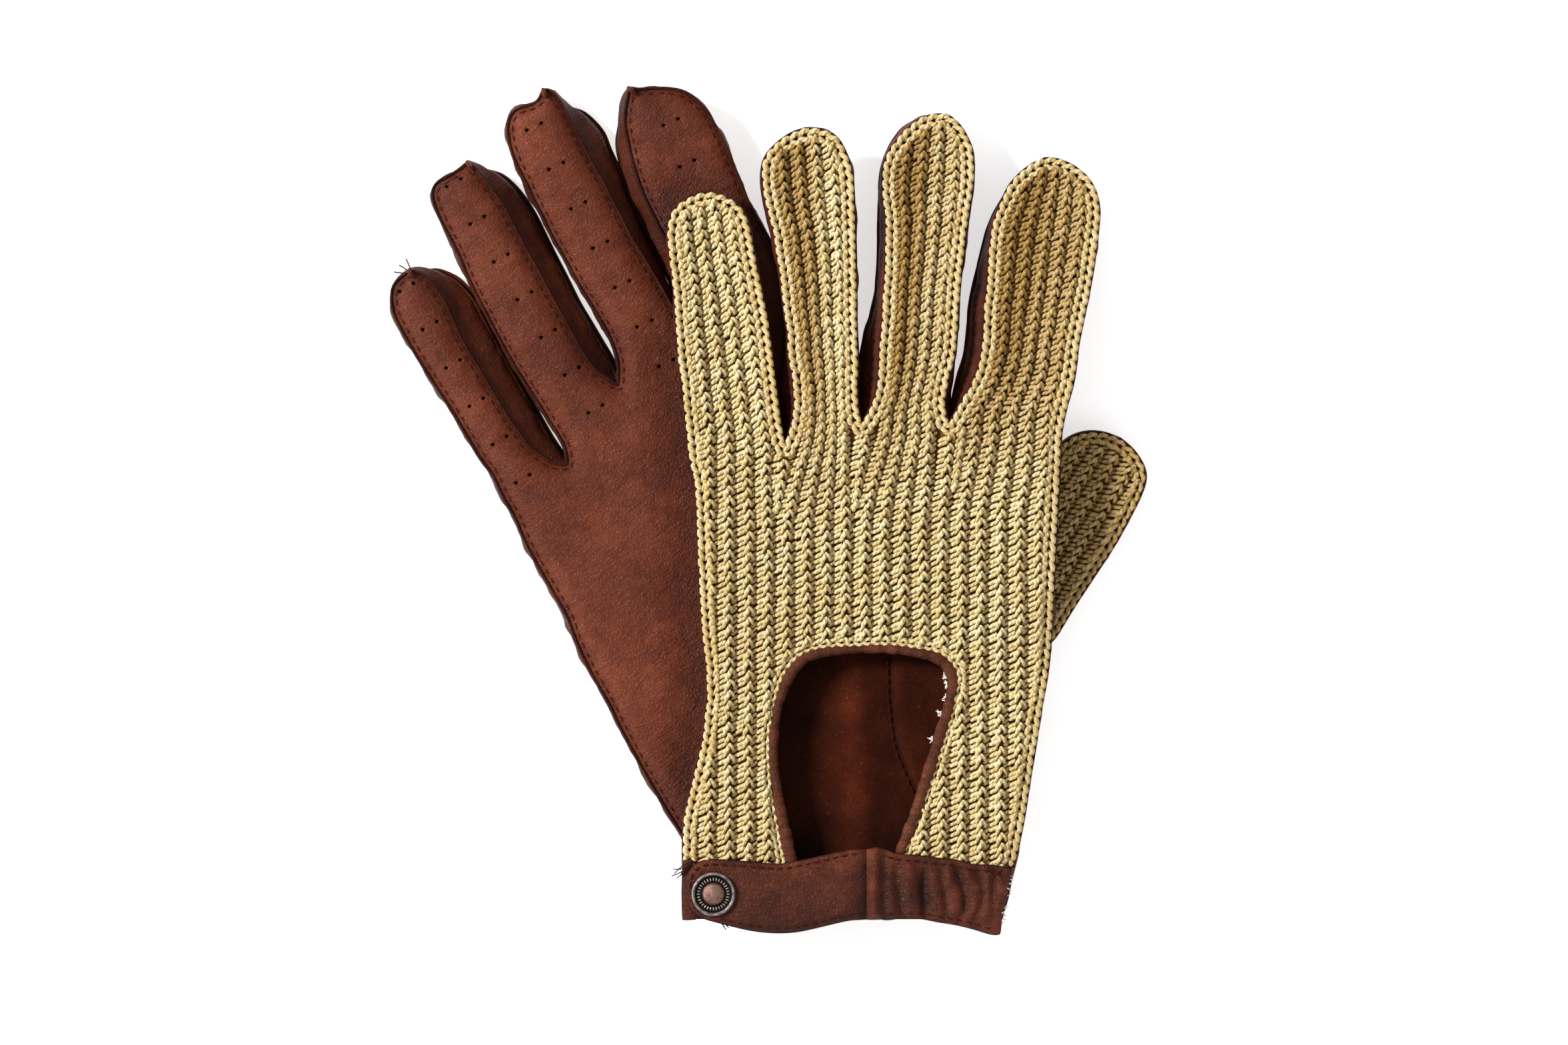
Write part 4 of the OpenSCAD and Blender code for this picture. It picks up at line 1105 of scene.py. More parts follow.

# the sheet under the stitches has the yarn's colour painted much darker and more ochre: painted shade deep between the
# stitches
n = N("knit_base")
lc = n.attr("lc").outputs["Vector"]
v = n.noise(lc, 0.9, 4.0, 0.7, 0.6)
col = n.ramp(v, [(0.35, srgb(84, 56, 20)), (0.5, srgb(112, 80, 34)), (0.65, srgb(142, 108, 54))])
MATS["knit_base"] = n.finish(Base_Color=col, Roughness=0.9, Normal=n.bump(v, 0.0012, 0.9), Specular_IOR_Level=0.15)


def plain(name, stops, scale, rough, bump, spec=0.3, metal=0.0, sheen=0.0, stretch=None):
    n = N(name)
    lc = n.attr("lc").outputs["Vector"]
    v = n.noise(lc, scale, 4.0, 0.65, 0.3, stretch=stretch)
    col = n.ramp(v, stops)
    r = n.remap(v, 0.3, 0.7, rough + 0.08, rough - 0.08)
    MATS[name] = n.finish(Base_Color=col, Roughness=r, Normal=n.bump(v, bump, 0.8), Specular_IOR_Level=spec, Metallic=metal, Sheen_Weight=sheen)


plain("thread", [(0.3, srgb(40, 13, 7)), (0.7, srgb(78, 30, 16))], 3.0, 0.7, 0.0004, 0.05, 0.0, 0.0)
plain("thread_dark", [(0.3, srgb(34, 18, 12)), (0.7, srgb(62, 36, 24))], 3.0, 0.75, 0.0004, 0.05, 0.0, 0.0)
plain("elastic", [(0.3, srgb(30, 20, 18)), (0.7, srgb(62, 46, 42))], 1.2, 0.85, 0.0008, 0.2, 0.0, 0.1, stretch=(3.0, 0.4, 1.0))
plain("lint", [(0.3, srgb(206, 196, 182)), (0.7, srgb(246, 240, 230))], 2.0, 0.85, 0.0006, 0.2)


def metal(name, stops, rough, mask_stops=None):
    n = N(name)
    lc = n.attr("lc").outputs["Vector"] if name not in ("cad_metal",) else n.mix(1.0, n.add("TexCoord").outputs["Object"], (1000.0, 1000.0, 1000.0), "MULTIPLY")
    v = n.noise(lc, 0.8, 5.0, 0.7, 0.6)
    f = n.noise(lc, 4.0, 3.0, 0.7, 0.2)
    s = n.math("ADD", n.math("MULTIPLY", v, 0.6), n.math("MULTIPLY", f, 0.4))
    if name not in ("cad_metal",):
        dk = n.attr("dk").outputs["Fac"]
        s = n.math("ADD", s, n.math("MULTIPLY_ADD", dk, 0.5, -0.42))
    col = n.ramp(s, stops)
    MATS[name] = n.finish(Base_Color=col, Metallic=0.9, Roughness=n.remap(s, 0.3, 0.7, rough + 0.2, rough - 0.08), Normal=n.bump(f, 0.00025, 0.6))


metal("bronze", [(0.25, srgb(14, 12, 11)), (0.45, srgb(74, 67, 63)), (0.62, srgb(150, 139, 131)), (0.8, srgb(196, 184, 174))], 0.36)
metal("copper", [(0.25, srgb(46, 30, 25)), (0.45, srgb(104, 76, 64)), (0.65, srgb(150, 116, 101)), (0.8, srgb(188, 156, 140))], 0.42)
metal("cad_metal", [(0.3, srgb(70, 60, 54)), (0.5, srgb(150, 134, 122)), (0.7, srgb(196, 180, 168))], 0.36)


# ------------------------------------------------------------------ sheets built as grids
def sheet_grid(b, G, thick, mat=0, mat_in=1, sign=1, dk=None):
    """A thin closed sheet over a grid of points (R, C, 3); thickness goes against the outward normal."""
    R, C, _ = G.shape
    du = np.gradient(G, axis=1)
    dv = np.gradient(G, axis=0)
    nn = np.cross(du, dv) * sign
    nn /= np.maximum(np.linalg.norm(nn, axis=2), 1e-9)[..., None]
    I = G - nn * thick
    m = R * C
    q = grid_faces(R, C)
    qo = q if sign > 0 else q[:, ::-1]
    qi = (q[:, ::-1] if sign > 0 else q) + m
    rimq = []
    i = np.arange(C - 1)
    rimq.append(np.stack([i, m + i, m + i + 1, i + 1], 1))
    k = (R - 1) * C + i
    rimq.append(np.stack([k + 1, m + k + 1, m + k, k], 1))
    j = np.arange(R - 1) * C
    rimq.append(np.stack([j + C, m + j + C, m + j, j], 1))
    j2 = j + C - 1
    rimq.append(np.stack([j2, m + j2, m + j2 + C, j2 + C], 1))
    rq = np.concatenate(rimq)
    if sign < 0:
        rq = rq[:, ::-1]
    d = np.ones(m) if dk is None else dk.reshape(-1)
    b.add(np.concatenate([G.reshape(-1, 3), I.reshape(-1, 3)]), [qo, qi, rq], [mat, mat_in, mat], dk=np.concatenate([d, d]))


def wall(b, lo_pts, hi_pts, w_lo, w_hi, bulge, thick=0.8, rows=7, seed=4, sign=1, fold=0.35, mat=0, mat_in=1, calm=1.0):
    """A side strip between two matching lines, bulging outwards (to the left of travel), with soft folds."""
    t = np.linspace(0, 1, rows)[:, None]
    base = lo_pts[None] * (1 - t[..., None]) + hi_pts[None] * t[..., None]
    nn = normals2((lo_pts + hi_pts) / 2, False)
    s = arc(lo_pts)[None]
    wl = w_lo(lo_pts[:, 0], lo_pts[:, 1]) if callable(w_lo) else np.full(len(lo_pts), w_lo)
    wh = w_hi(hi_pts[:, 0], hi_pts[:, 1]) if callable(w_hi) else np.full(len(hi_pts), w_hi)
    prof = np.sin(math.pi * t)
    wr = fbm(s / 6.5 + 0 * t, t * 1.6 + 0 * s, seed, 3) * fold * prof * 1.6 + vnoise(s / 2.3 + 0 * t, t * 2.5 + 0 * s, seed + 9) * fold * 0.35 * prof
    off = bulge * prof + wr * calm
    G = np.empty((rows, len(lo_pts), 3))
    G[..., :2] = base + nn[None] * off[..., None]
    tw = t + 0.05 * np.sin(2 * math.pi * t)
    G[..., 2] = wl[None] * (1 - tw) + wh[None] * tw
    # the middle of the strip, where it bulges furthest out, is painted up to 18% darker: painted shade
    sheet_grid(b, G, thick, mat, mat_in, sign, dk=1 - 0.18 * prof + 0 * s)
    return G


# ------------------------------------------------------------------ a glove
CREASES = {
    # finger: (distance along it, depth, width, lean)
    "pinky": [(16, 0.22, 1.5, 0.10), (24, 0.16, 1.1, -0.12), (44, 0.30, 1.6, 0.08), (49, 0.18, 1.0, -0.1), (60, 0.14, 1.0, 0.1)],
    "ring": [(18, 0.18, 1.4, -0.08), (30, 0.20, 1.6, 0.12), (52, 0.34, 1.8, 0.05), (56, 0.22, 1.2, -0.06), (68, 0.30, 1.4, 0.12), (73, 0.36, 1.6, 0.05)],
    "middle": [(20, 0.2, 1.5, 0.1), (36, 0.24, 1.6, -0.1), (55, 0.26, 1.5, 0.1), (59, 0.2, 1.0, 0.0), (72, 0.18, 1.2, -0.1)],
    "index": [(30, 0.2, 1.4, 0.1), (48, 0.32, 1.6, -0.2), (52, 0.26, 1.2, -0.1), (62, 0.18, 1.1, 0.1)],
}


def leather_relief(place, side, field):
    """Height of the leather's outer face over its edge, as a function of x and y."""

    def h(x, y):
        d = field(x, y)
        dd = np.clip(d, 0, None)
        if side == "right":
            L = left_outline_in(place)
            fl = SIDES["left_in_right"]
            free = sstep(-fl(x, y), 0.5, 15)
            free = free * np.where(place.finger_of(x, y)[0] == 3, 0.55, 1.0)   # the index lies under the other glove
        else:
            free = np.zeros_like(x)
        A = 0.75 + 1.45 * free
        Rr = 6.5
        q = 1 - np.clip(dd / Rr, 0, 1)
        out = A * (1 - q * q)
        # soft hollow in the middle of the palm
        out = out - free * 0.7 * np.exp(-(((x - 4) / 26) ** 2 + ((y - 66) / 34) ** 2)) - 0.0
        amp = 0.15 + 0.85 * free
        out = out + amp * np.clip(dd / 4, 0, 1) * (0.34 * fbm(x / 21, y / 26, 11, 2) + 0.13 * fbm(x / 6.5, y / 4.2, 17, 2))
        # creases across the fingers
        which, along = place.finger_of(x, y)
        for i, (k, f) in enumerate(place.fingers.items()):
            L_ = math.hypot(f[2] - f[0], f[3] - f[1])
            dx, dy = (f[2] - f[0]) / L_, (f[3] - f[1]) / L_
            c = (x - f[0]) * dy - (y - f[1]) * dx
            m = (which == i) & (along > 2)
            for (a, dep, wid, lean) in CREASES[k]:
                z = (along - a - lean * c - 0.5 * vnoise(c / 3.0 + a, 0 * c, 31)) / wid
                fade = np.clip(1 - np.abs(c + 2.0 * vnoise(a + 0 * c, 0 * c, 5)) / 11, 0, 1)
                out = out - amp * m * fade * dep * (np.exp(-z * z) - 0.5 * np.exp(-((z - 1.5) ** 2)) - 0.5 * np.exp(-((z + 1.5) ** 2)))
        # slanting wrinkles under the little finger
        u = (x + 33) * 0.78 + (y - 116) * 0.62
        v = -(x + 33) * 0.62 + (y - 116) * 0.78
        out = out + amp * 0.16 * np.sin(u * 1.9 + 0.8 * np.sin(v * 0.4)) * np.exp(-((u / 9) ** 2) - (v / 11) ** 2)
        # the stitched channel beside the edge
        out = out - 0.22 * np.exp(-(((d - 1.4) / 0.5) ** 2))
        return out

    return h


def build_glove(side):
    place = place_of(side)
    up_lift = LIFT[side]
    Bs = sections(LB if side == "left" else RL, 1.25)
    Ts = sections(LT if side == "left" else RC, counts=[len(s) for s in Bs])
    B, T = loop_of(Bs), loop_of(Ts)
    S = {"place": place, "B_loop": B, "T_loop": T}
    SIDES[side] = S
    if side == "right":
        SIDES["left_in_right"] = Field(left_outline_in(place), 1.0, 40)
    fB, fT = Field(B), Field(T)
    S["fB"], S["fT"] = fB, fT
    hand = side + "_hand"
    fnames = list(place.fingers)
    thumb_hole = None
    if side == "left":
        a = np.arange(0, 2 * math.pi, 0.14)
        thumb_hole = np.stack([48.1 + 9.8 * np.cos(a), 87.2 + 9.8 * np.sin(a)], 1)

    # --- leather palm and finger fronts
    relief = leather_relief(place, side, fB)
    S["relief"] = relief
    w_out = lambda x, y: 1.15 - relief(x, y)
    S["w_out"] = w_out

    def w_in(x, y):
        d = fB(x, y)
        ridge = 1.5 * np.exp(-(((x - 3.5 + 0.03 * (y - 45)) / 3.6) ** 2)) * sstep(y, 4, 22) * (1 - sstep(y, 66, 84))
        dip = -0.35 * np.exp(-(((x + 12) / 5) ** 2)) - 0.35 * np.exp(-(((x - 11) / 3) ** 2))
        wr = 0.30 * fbm(x / 7, y / 11, 41, 3)
        m = np.clip((d - 3) / 6, 0, 1)
        ok = 1.0 if side == "left" else 0.5
        return np.maximum(w_out(x, y) + 1.0, w_out(x, y) + 1.15 + m * (ridge + dip + wr) * ok)

    def palm_dk(x, y):
        d = fB(x, y)
        # painted shade in the stitched channel beside the edge and along the edge itself
        v = 1 - 0.16 * np.exp(-((d - 1.4) / 0.7) ** 2) - 0.25 * np.exp(-np.clip(d, 0, None) / 0.5)
        if side == "right":
            fl = SIDES["left_in_right"]
            # painted shadow that the left glove, lying beside and over it, casts on the right glove's leather
            v = v * (0.62 + 0.38 * sstep(-fl(x, y), -2, 16))
            which, along = place.finger_of(x, y)
            # the ring finger is painted 10% darker from y 150 to 175 on; the left of the lower palm gets a painted
            # sheen, 10% lighter
            v = v * (1 - 0.10 * sstep(y, 150, 175) * (which == 1)) * (1 + 0.10 * np.exp(-(((x + 30) / 16) ** 2)) * (1 - sstep(y, 60, 130)))
        return v

    holes = []
    if side == "right":
        f = place.fingers
        rows = [(-38.5 + 3.7 * i / 5, 200.8 - 12.8 * i) for i in range(6)], [(-12.5 + 5.4 * i / 6, 220.9 - 12.7 * i) for i in range(7)], \
               [(15.3 + 1.7 * i / 6, 224.2 - 12.9 * i) for i in range(7)], [(50.4, 207.1), (49.0, 194.4), (47.6, 181.7), (46.2, 169.0)]
        for fi, rr in zip(fnames, rows):
            ff = f[fi]
            L_ = math.hypot(ff[2] - ff[0], ff[3] - ff[1])
            dx, dy = (ff[2] - ff[0]) / L_, (ff[3] - ff[1]) / L_
            for (hx, hy) in rr:
                for sg in (-1, 1):
                    cx, cy = hx + sg * 2.3 * dy, hy - sg * 2.3 * dx
                    a = np.arange(8) / 8 * 2 * math.pi
                    r = np.array([0.78, 0.46] * 4)
                    holes.append(np.stack([cx + r * np.cos(a), cy + r * np.sin(a) * 0.86], 1))
    S["holes"] = holes
    b = Build(place)
    hl = list(holes) + ([thumb_hole] if thumb_hole is not None else [])

    def lining_dk(x, y):
        # painted light and shade on the lining seen in the keyhole: a painted highlight on the ridge down its middle
        # and a little on its right, painted shade in the pocket on either side, at the bottom by the strap and under
        # the top of the keyhole
        v = 0.42 + 0.72 * np.exp(-(((x - 1.5 + 0.04 * (y - 45)) / 7.5) ** 2)) + 0.1 * sstep(x, 12, 16)
        v = v * (0.55 + 0.45 * sstep(y, 16, 34)) * (1 - 0.35 * sstep(y, 62, 76))
        return np.where(np.abs(y - 45) < 60, v, 0.9)

    panel(b, B, hl, 1.35, w_out, w_in, (0, 1, 2), side=-1, rim=0.25, seed=3, dk=palm_dk, step=1.25, dk_in=lining_dk)
    # raised raw edge of the out-seam
    sub = B
    ew = lambda x, y: np.full(len(x), 1.15)
    rr = 0.52 * (1 + 0.18 * vnoise(arc(sub) / 3.1, 0 * arc(sub), 8))
    path = np.column_stack([sub + normals2(sub, False) * 0.22, np.full(len(sub), 1.25)])
    p, q, t, uv = tube(path, rr, rr * 1.35, 8)
    b.add(p, [q, t], 2, uv=uv)
    # running stitches just inside the edge
    inner = curve(B, 0.8, False, smooth=False)
    inner = inner - normals2(inner, False) * 1.4
    ok = (fB(inner[:, 0], inner[:, 1]) > 1.1) & (inner[:, 1] > 5) & (inner[:, 1] < 400)
    cut = np.nonzero(~ok)[0]
    runs = np.split(np.arange(len(inner)), cut)
    for ri, run in enumerate(runs):
        run = run[ok[run]]
        if len(run) > 6:
            stitch_path(b, inner[run], w_out, 2.1, 0.85, 0.27, mat=3, side=-1, seed=50 + ri, lift=0.10)
    # pinched tips, with thread ends on the little finger
    if side == "right":
        for (tx, ty, ang) in ((-35.8, 204.2, 100), (-6.4, 223.8, 92), (22.4, 231.9, 80), (44.5, 220.9, 110)):
            a = math.radians(ang)
            s_ = np.linspace(-4.2, 1.0, 9)
            pth = np.column_stack([tx + s_ * math.cos(a), ty + s_ * math.sin(a), 1.0 - 1.25 * np.exp(-((s_ - 0.2) / 2.0) ** 2)])
            p, q, t, uv = tube(pth, np.interp(s_, [-4.2, -1, 1], [0.2, 0.75, 0.5]), np.interp(s_, [-4.2, -1, 1], [0.3, 1.0, 0.8]), 8)
            b.add(p, [q, t], 0, uv=uv)
        for j, (ex, ey) in enumerate(((-37.6, 207.6), (-34.6, 208.3), (-39.3, 206.6))):
            s_ = np.linspace(0, 1, 7)
            pth = np.stack([np.column_stack([-36 + (ex + 36) * s_ + 0.4 * np.sin(3 * s_ + j), 203.8 + (ey - 203.8) * s_, 1.0 + 0.8 * s_])])
            p, q, t, uv, idx = strands(pth, np.full((1, 7), 0.2), 6)
            b.add(p, [q, t], 3, uv=uv)
    names = {"": side + "_palm", **{k: f"{side}_{k}_palm" for k in fnames}}
    mats = ["leather", "suede", "leather_edge", "thread"]
    pal = b.make(names, mats)

    # --- side strips
    b = Build(place)
    kb = 7.9 if side == "right" else 8.1
    edge_w = 8.4
    w_T = lambda x, y: edge_w - 1.0 * (1 - sstep(y, 14, 24))
    # where the knit starts the wall already stands, from there down it is short
    near_thumb = np.exp(-(((B[:, 1] - 76) / 24) ** 4)) * (B[:, 0] > 40) * (side == "right")
    bul = (0.8 if side == "left" else 1.3) * (1 - near_thumb)
    wall(b, B, T, lambda x, y: np.full(len(x), 1.3), w_T, bul, calm=1 - near_thumb, rows=8, sign=-1, fold=0.42 if side == "left" else 0.55)
    p3 = np.column_stack([T + normals2(T, False) * 0.35, w_T(T[:, 0], T[:, 1]) + 0.15])
    p, q, t, uv = tube(p3, 0.5, 0.7, 8)
    b.add(p, [q, t], 2, uv=uv)
    if side == "left":
        tb = [(-47.2, 0.4), (-47.4, 8), (-47.1, 17.3), (-43.2, 17.0), (-43.0, 0.6)]
        lw = 8.6 + up_lift * 0.6
        panel(b, curve(tb, 1.2, True, smooth=False), [], 1.3, lambda x, y: lw + 0.35 - 0.06 * (x + 45) ** 2, lambda x, y: lw - 0.5 - 0.06 * (x + 45) ** 2, (0, 1, 2), side=1, step=1.2)
    names = {"": side + "_sides", **{k: f"{side}_{k}_sides" for k in fnames}}
    sid = b.make(names, ["leather_side", "suede", "leather_edge"])

    # --- knitted back
    b = Build(place)
    sag = 2.9 if side == "left" else 0.0
    inset = 0.0 if side == "left" else 2.1   # the right back stops short of the wall, which wraps under it

    def w_knit(x, y):
        d = np.clip(fT(x, y), 0, None)
        which, along = place.finger_of(x, y)
        # hollow middle with raised borders; a fold down each finger
        fing = sstep(y, 128, 150)
        hollow_f = sag * (1 - np.exp(-d / 5.5)) * 0.95
        hollow_h = sag * 0.42 * (1 - np.exp(-d / 16.0))
        w = kb + 0.55 * (sag > 0) - hollow_f * fing - hollow_h * (1 - fing)
        w = w + 0.35 * (sag > 0) * fbm(x / 30, y / 36, 23, 2)
        q = 1 - np.clip(d / 2.4, 0, 1)
        w = w - 0.7 * q * q
        w = w - (1.1 + (side == "right") * 0.2) * (1 - sstep(y, 15, 27))
        return w

    S["w_knit"] = w_knit
    ko = curve(KEY_OUT, 1.3, False)
    kmid = curve([((a[0] + c[0]) / 2, (a[1] + c[1]) / 2) for a, c in zip(resample_n(curve(KEY_OUT, 0.5), 90), resample_n(curve(KEY_IN, 0.5), 90))], 0.75, False)
    # the knit's outline, cut by the keyhole
    i0 = np.argmin(np.abs(T[: len(T) // 3, 1] - 15))
    Tl = T
    notch = resample_n(curve(KEY_OUT, 0.5), 130)
    notch = notch[(notch[:, 1] > 15.4)]
    outline = np.concatenate([Tl - normals2(Tl, False) * 0.5, [(30.0, 15.0), (notch[-1][0] + 1.5, 15.0)], notch[::-1], [(notch[0][0] - 1.5, 15.0), (-30.0, 15.0)]])
    panel(b, outline, [], 1.5, w_knit, lambda x, y: w_knit(x, y) - 0.9, (1, 1, 1) if side == "left" else (1, 2, 2), side=1, rim=0.1, seed=5, step=1.3,
          border=(fT, 2.9, 2) if side == "right" else None)
    key_poly = np.concatenate([resample_n(curve(KEY_OUT, 0.5), 120), [(15, 0), (-18.6, 0)]])
    fK = Field(key_poly, 0.8, 30)
    strap_y = lambda x: np.interp(x, [p[0] for p in STRAP_TOP], [p[1] for p in STRAP_TOP])

    def clip(x, y):
        return ((fT(x, y) > inset - 0.5) | (y < 17)) & (fK(x, y) < 3.0) & (y > strap_y(x) - 3.5)

    def clip_strand(x, y):
        # under the strap the knit runs on straight
        side_d = np.minimum(x - T[0, 0], T[-1, 0] - x)
        d = np.where(y < 19, side_d, fT(x, y))
        return (d > 2.5 + inset) & (fK(x, y) < -1.1) & (y > strap_y(x) - 2.5)

    def tone(x, y):
        d = fT(x, y)
        # painted shade on the yarn just inside the raised chain border
        v = 1 - 0.10 * np.exp(-np.clip(d - 2.6, 0, None) / 1.6)
        v = v * (0.985 + 0.03 * vnoise(x / 9, y / 14, 77))
        if side == "left":
            # painted shade on the fingers' knit: the left half of each sunken finger faces away from the light and is
            # painted darker and more ochre, the middle and index most; the little finger is painted a little lighter
            which, along = place.finger_of(x, y)
            g = sstep(y, 118, 165)
            for i, (k, f) in enumerate(place.fingers.items()):
                L_ = math.hypot(f[2] - f[0], f[3] - f[1])
                c = -((x - f[0]) * (f[3] - f[1]) - (y - f[1]) * (f[2] - f[0])) / L_ * -1
                lo_, hi_ = {"pinky": (1.05, 1.10), "ring": (0.62, 1.04), "middle": (0.58, 0.88), "index": (0.58, 0.70)}[k]
                v = np.where(which == i, v * (1 - g + g * (lo_ + (hi_ - lo_) * sstep(c, -2.5, 3.5))), v)
            # painted shade on the left of the back and painted light on its right, where the hollow back turns away
            # from and towards the light
            v = v * (1 - 0.05 * (1 - sstep(x, -30, 10)) * (1 - g)) * (1 + 0.02 * sstep(x, 10, 45) * (1 - g))
        return v

    ribs = knit_ribs(side, Ts)
    cells = Build(place)
    knit_cells(cells, ribs, w_knit, clip, 100 if side == "left" else 200, K=6 if side == "left" else 5, tone=tone, clip_strand=clip_strand)
    # chain edge all round, and round the keyhole's start
    ch = curve(T, 0.9, False, smooth=False)
    ch = ch - normals2(ch, False) * (1.45 + inset)
    good = (fT(ch[:, 0], ch[:, 1]) > 0.9 + inset) & (ch[:, 1] > strap_y(ch[:, 0]) - 1.5)
    # cut out the tight corners at the crotches, where the offset would fold over itself
    cut = np.nonzero(~good)[0]
    for ri, run in enumerate(np.split(np.arange(len(ch)), cut)):
        run = run[good[run]]
        if len(run) > 5:
            chain(b, ch[run], w_knit, seed=300 + ri, tone=0.86)
    kr = curve(KEY_OUT, 0.8, False)
    kr = kr + normals2(kr, False) * 0.75
    kr = kr[kr[:, 1] > 15.5]
    chain(b, kr, w_knit, pitch=2.5, half=0.85, r=0.55, seed=390, h0=0.45, tone=0.9)
    names = {"": side + "_knit", **{k: f"{side}_{k}_knit" for k in fnames}}
    kn = cells.make(names, ["yarn"], custom_normals=False)
    names = {"": side + "_knit_edge", **{k: f"{side}_{k}_knit_edge" for k in fnames}}
    ke = b.make(names, ["yarn", "knit_base", "leather_side"], custom_normals=False)

    # --- keyhole binding: a rolled leather edge
    b = Build(place)
    ns = arc(kmid)
    halfw = np.interp(ns, [0, ns[-1] * 0.2, ns[-1] * 0.4, ns[-1] * 0.5, ns[-1] * 0.62, ns[-1] * 0.8, ns[-1]], [1.9, 1.45, 1.45, 1.25, 1.6, 1.75, 1.6])
    wr = 1 + 0.09 * vnoise(ns / 1.6, 0 * ns, 61) + 0.07 * vnoise(ns / 0.9, 0 * ns, 63)
    kc = w_knit(kmid[:, 0], kmid[:, 1]) + 1.15 - 0.0 * ns
    kc = np.minimum(kc, H - 1.5 + 0.8) - 1.0 * (1 - sstep(kmid[:, 1], 14, 22))
    path = np.column_stack([kmid + normals2(kmid, False) * 0.1 * vnoise(ns / 4, 0 * ns, 65)[:, None], kc])
    p, q, t, uv = tube(path, halfw * wr, 1.30 * wr, 14)
    # the roll is painted darker where the same noise pinches it thinner: painted shade in its creases
    b.add(p, [q, t], 0, dk=1 - 0.4 * np.clip(-vnoise(uv[:, 0] / 0.9, 0 * uv[:, 0], 63) - 0.1, 0, 1) - 0.15 * np.clip(-vnoise(uv[:, 0] / 1.6, 0 * uv[:, 0], 61), 0, 1), uv=uv)
    # its inner turned edge
    p2 = np.column_stack([kmid - normals2(kmid, False) * -1.0 * 0, kc - 1.6])
    p, q, t, uv = tube(p2, halfw * 0.8, 0.5, 8)
    b.add(p, [q, t], 1, uv=uv)
    key = b.make({"": side + "_keyhole"}, ["leather_roll", "suede", "thread"])[""]

    # --- wrist band with its elastic, tab and hem
    cw = 8.4 + 1.2 + up_lift
    b = Build(place)
    top = [(4.9, 20.3), (8, 20.8), (14, 19), (20, 18.5), (25, 17.8), (30, 17.3), (35, 16), (40, 15.8), (45.3, 15)]
    bot = [(42.5, -3.7), (40, -3.5), (35, -2), (30, -0.8), (25, 0), (20, 0.9), (10, 0.8), (4.9, 0.7)]
    out = np.concatenate([curve(top, 0.9), curve([(45.5, 14), (44.6, 8), (43.2, 2), (42.7, -2.8)], 0.9), curve(bot, 0.9)])
    fo = Field(out[::-1] if False else out, 0.5, 6)

    def pucker(x, y):
        ty = np.clip((y + 1) / 18, 0, 1)
        lean = x - 1.2 * np.sin(ty * 3.0) - 0.6 * vnoise(y / 4.0, x * 0, 71)
        g = 0
        for cx, a, wd in ((13.4, 1.0, 1.5), (21.0, 1.9, 1.3), (26.4, 1.2, 0.9), (31.4, 1.6, 1.2), (36.4, 1.0, 0.9), (40.3, 0.8, 0.8)):
            g = g - a * np.exp(-(((lean - cx - 0.7 * np.sin(y / 3.1 + cx)) / wd) ** 2)) * np.exp(-(((ty - 0.5) / 0.42) ** 4))
        g = g + 0.30 * np.sin(x * 1.15 + 1.2) * sstep(x, 10, 20) * (0.35 + 0.65 * np.exp(-(((ty - 0.85) / 0.2) ** 2)))
        return g + 0.16 * fbm(x / 3.0, y / 7.0, 73, 2) * sstep(x, 9, 16)

    def band_w(x, y):
        d = np.clip(fo(x, y), 0, None)
        w = cw - 0.15 + 0.75 * (1 - (1 - np.clip(d / 3.2, 0, 1)) ** 2) + pucker(x, y) * np.clip(d / 1.5, 0, 1)
        # raised pleat beside the strap
        pl = np.exp(-(((x - 6.9) / 1.5) ** 4))
        w = w + 0.95 * pl * np.clip(d / 1.0, 0.35, 1) - 0.5 * np.exp(-(((x - 10.0) / 1.0) ** 2)) * np.clip(d / 1.5, 0, 1)
        # stitched channel under the top edge
        return w - 0.3 * np.exp(-(((d - 1.5) / 0.5) ** 2)) * sstep(y, 11, 14) * sstep(x, 9.5, 11)

    def band_dk(x, y):
        g = pucker(x, y)
        d = fo(x, y)
        # painted shade in the puckers' folds and painted light on their puffs, painted shade in the stitched channel, a
        # painted shadow beside the pleat and a painted highlight on it, and painted shade along the edge
        return 1 + 0.36 * np.clip(g, -1.6, 0.5) - 0.25 * np.exp(-(((d - 1.5) / 0.4) ** 2)) * sstep(y, 11, 14) - 0.45 * np.exp(-(((x - 9.9) / 0.9) ** 2)) + 0.12 * np.exp(-(((x - 7.2) / 1.2) ** 2)) - 0.15 * np.exp(-np.clip(d, 0, None) / 0.5)

    panel(b, out, [], 0.95, band_w, lambda x, y: band_w(x, y) - 0.85, (0, 1, 2), side=1, rim=0.3, seed=7, dk=band_dk, step=0.95)
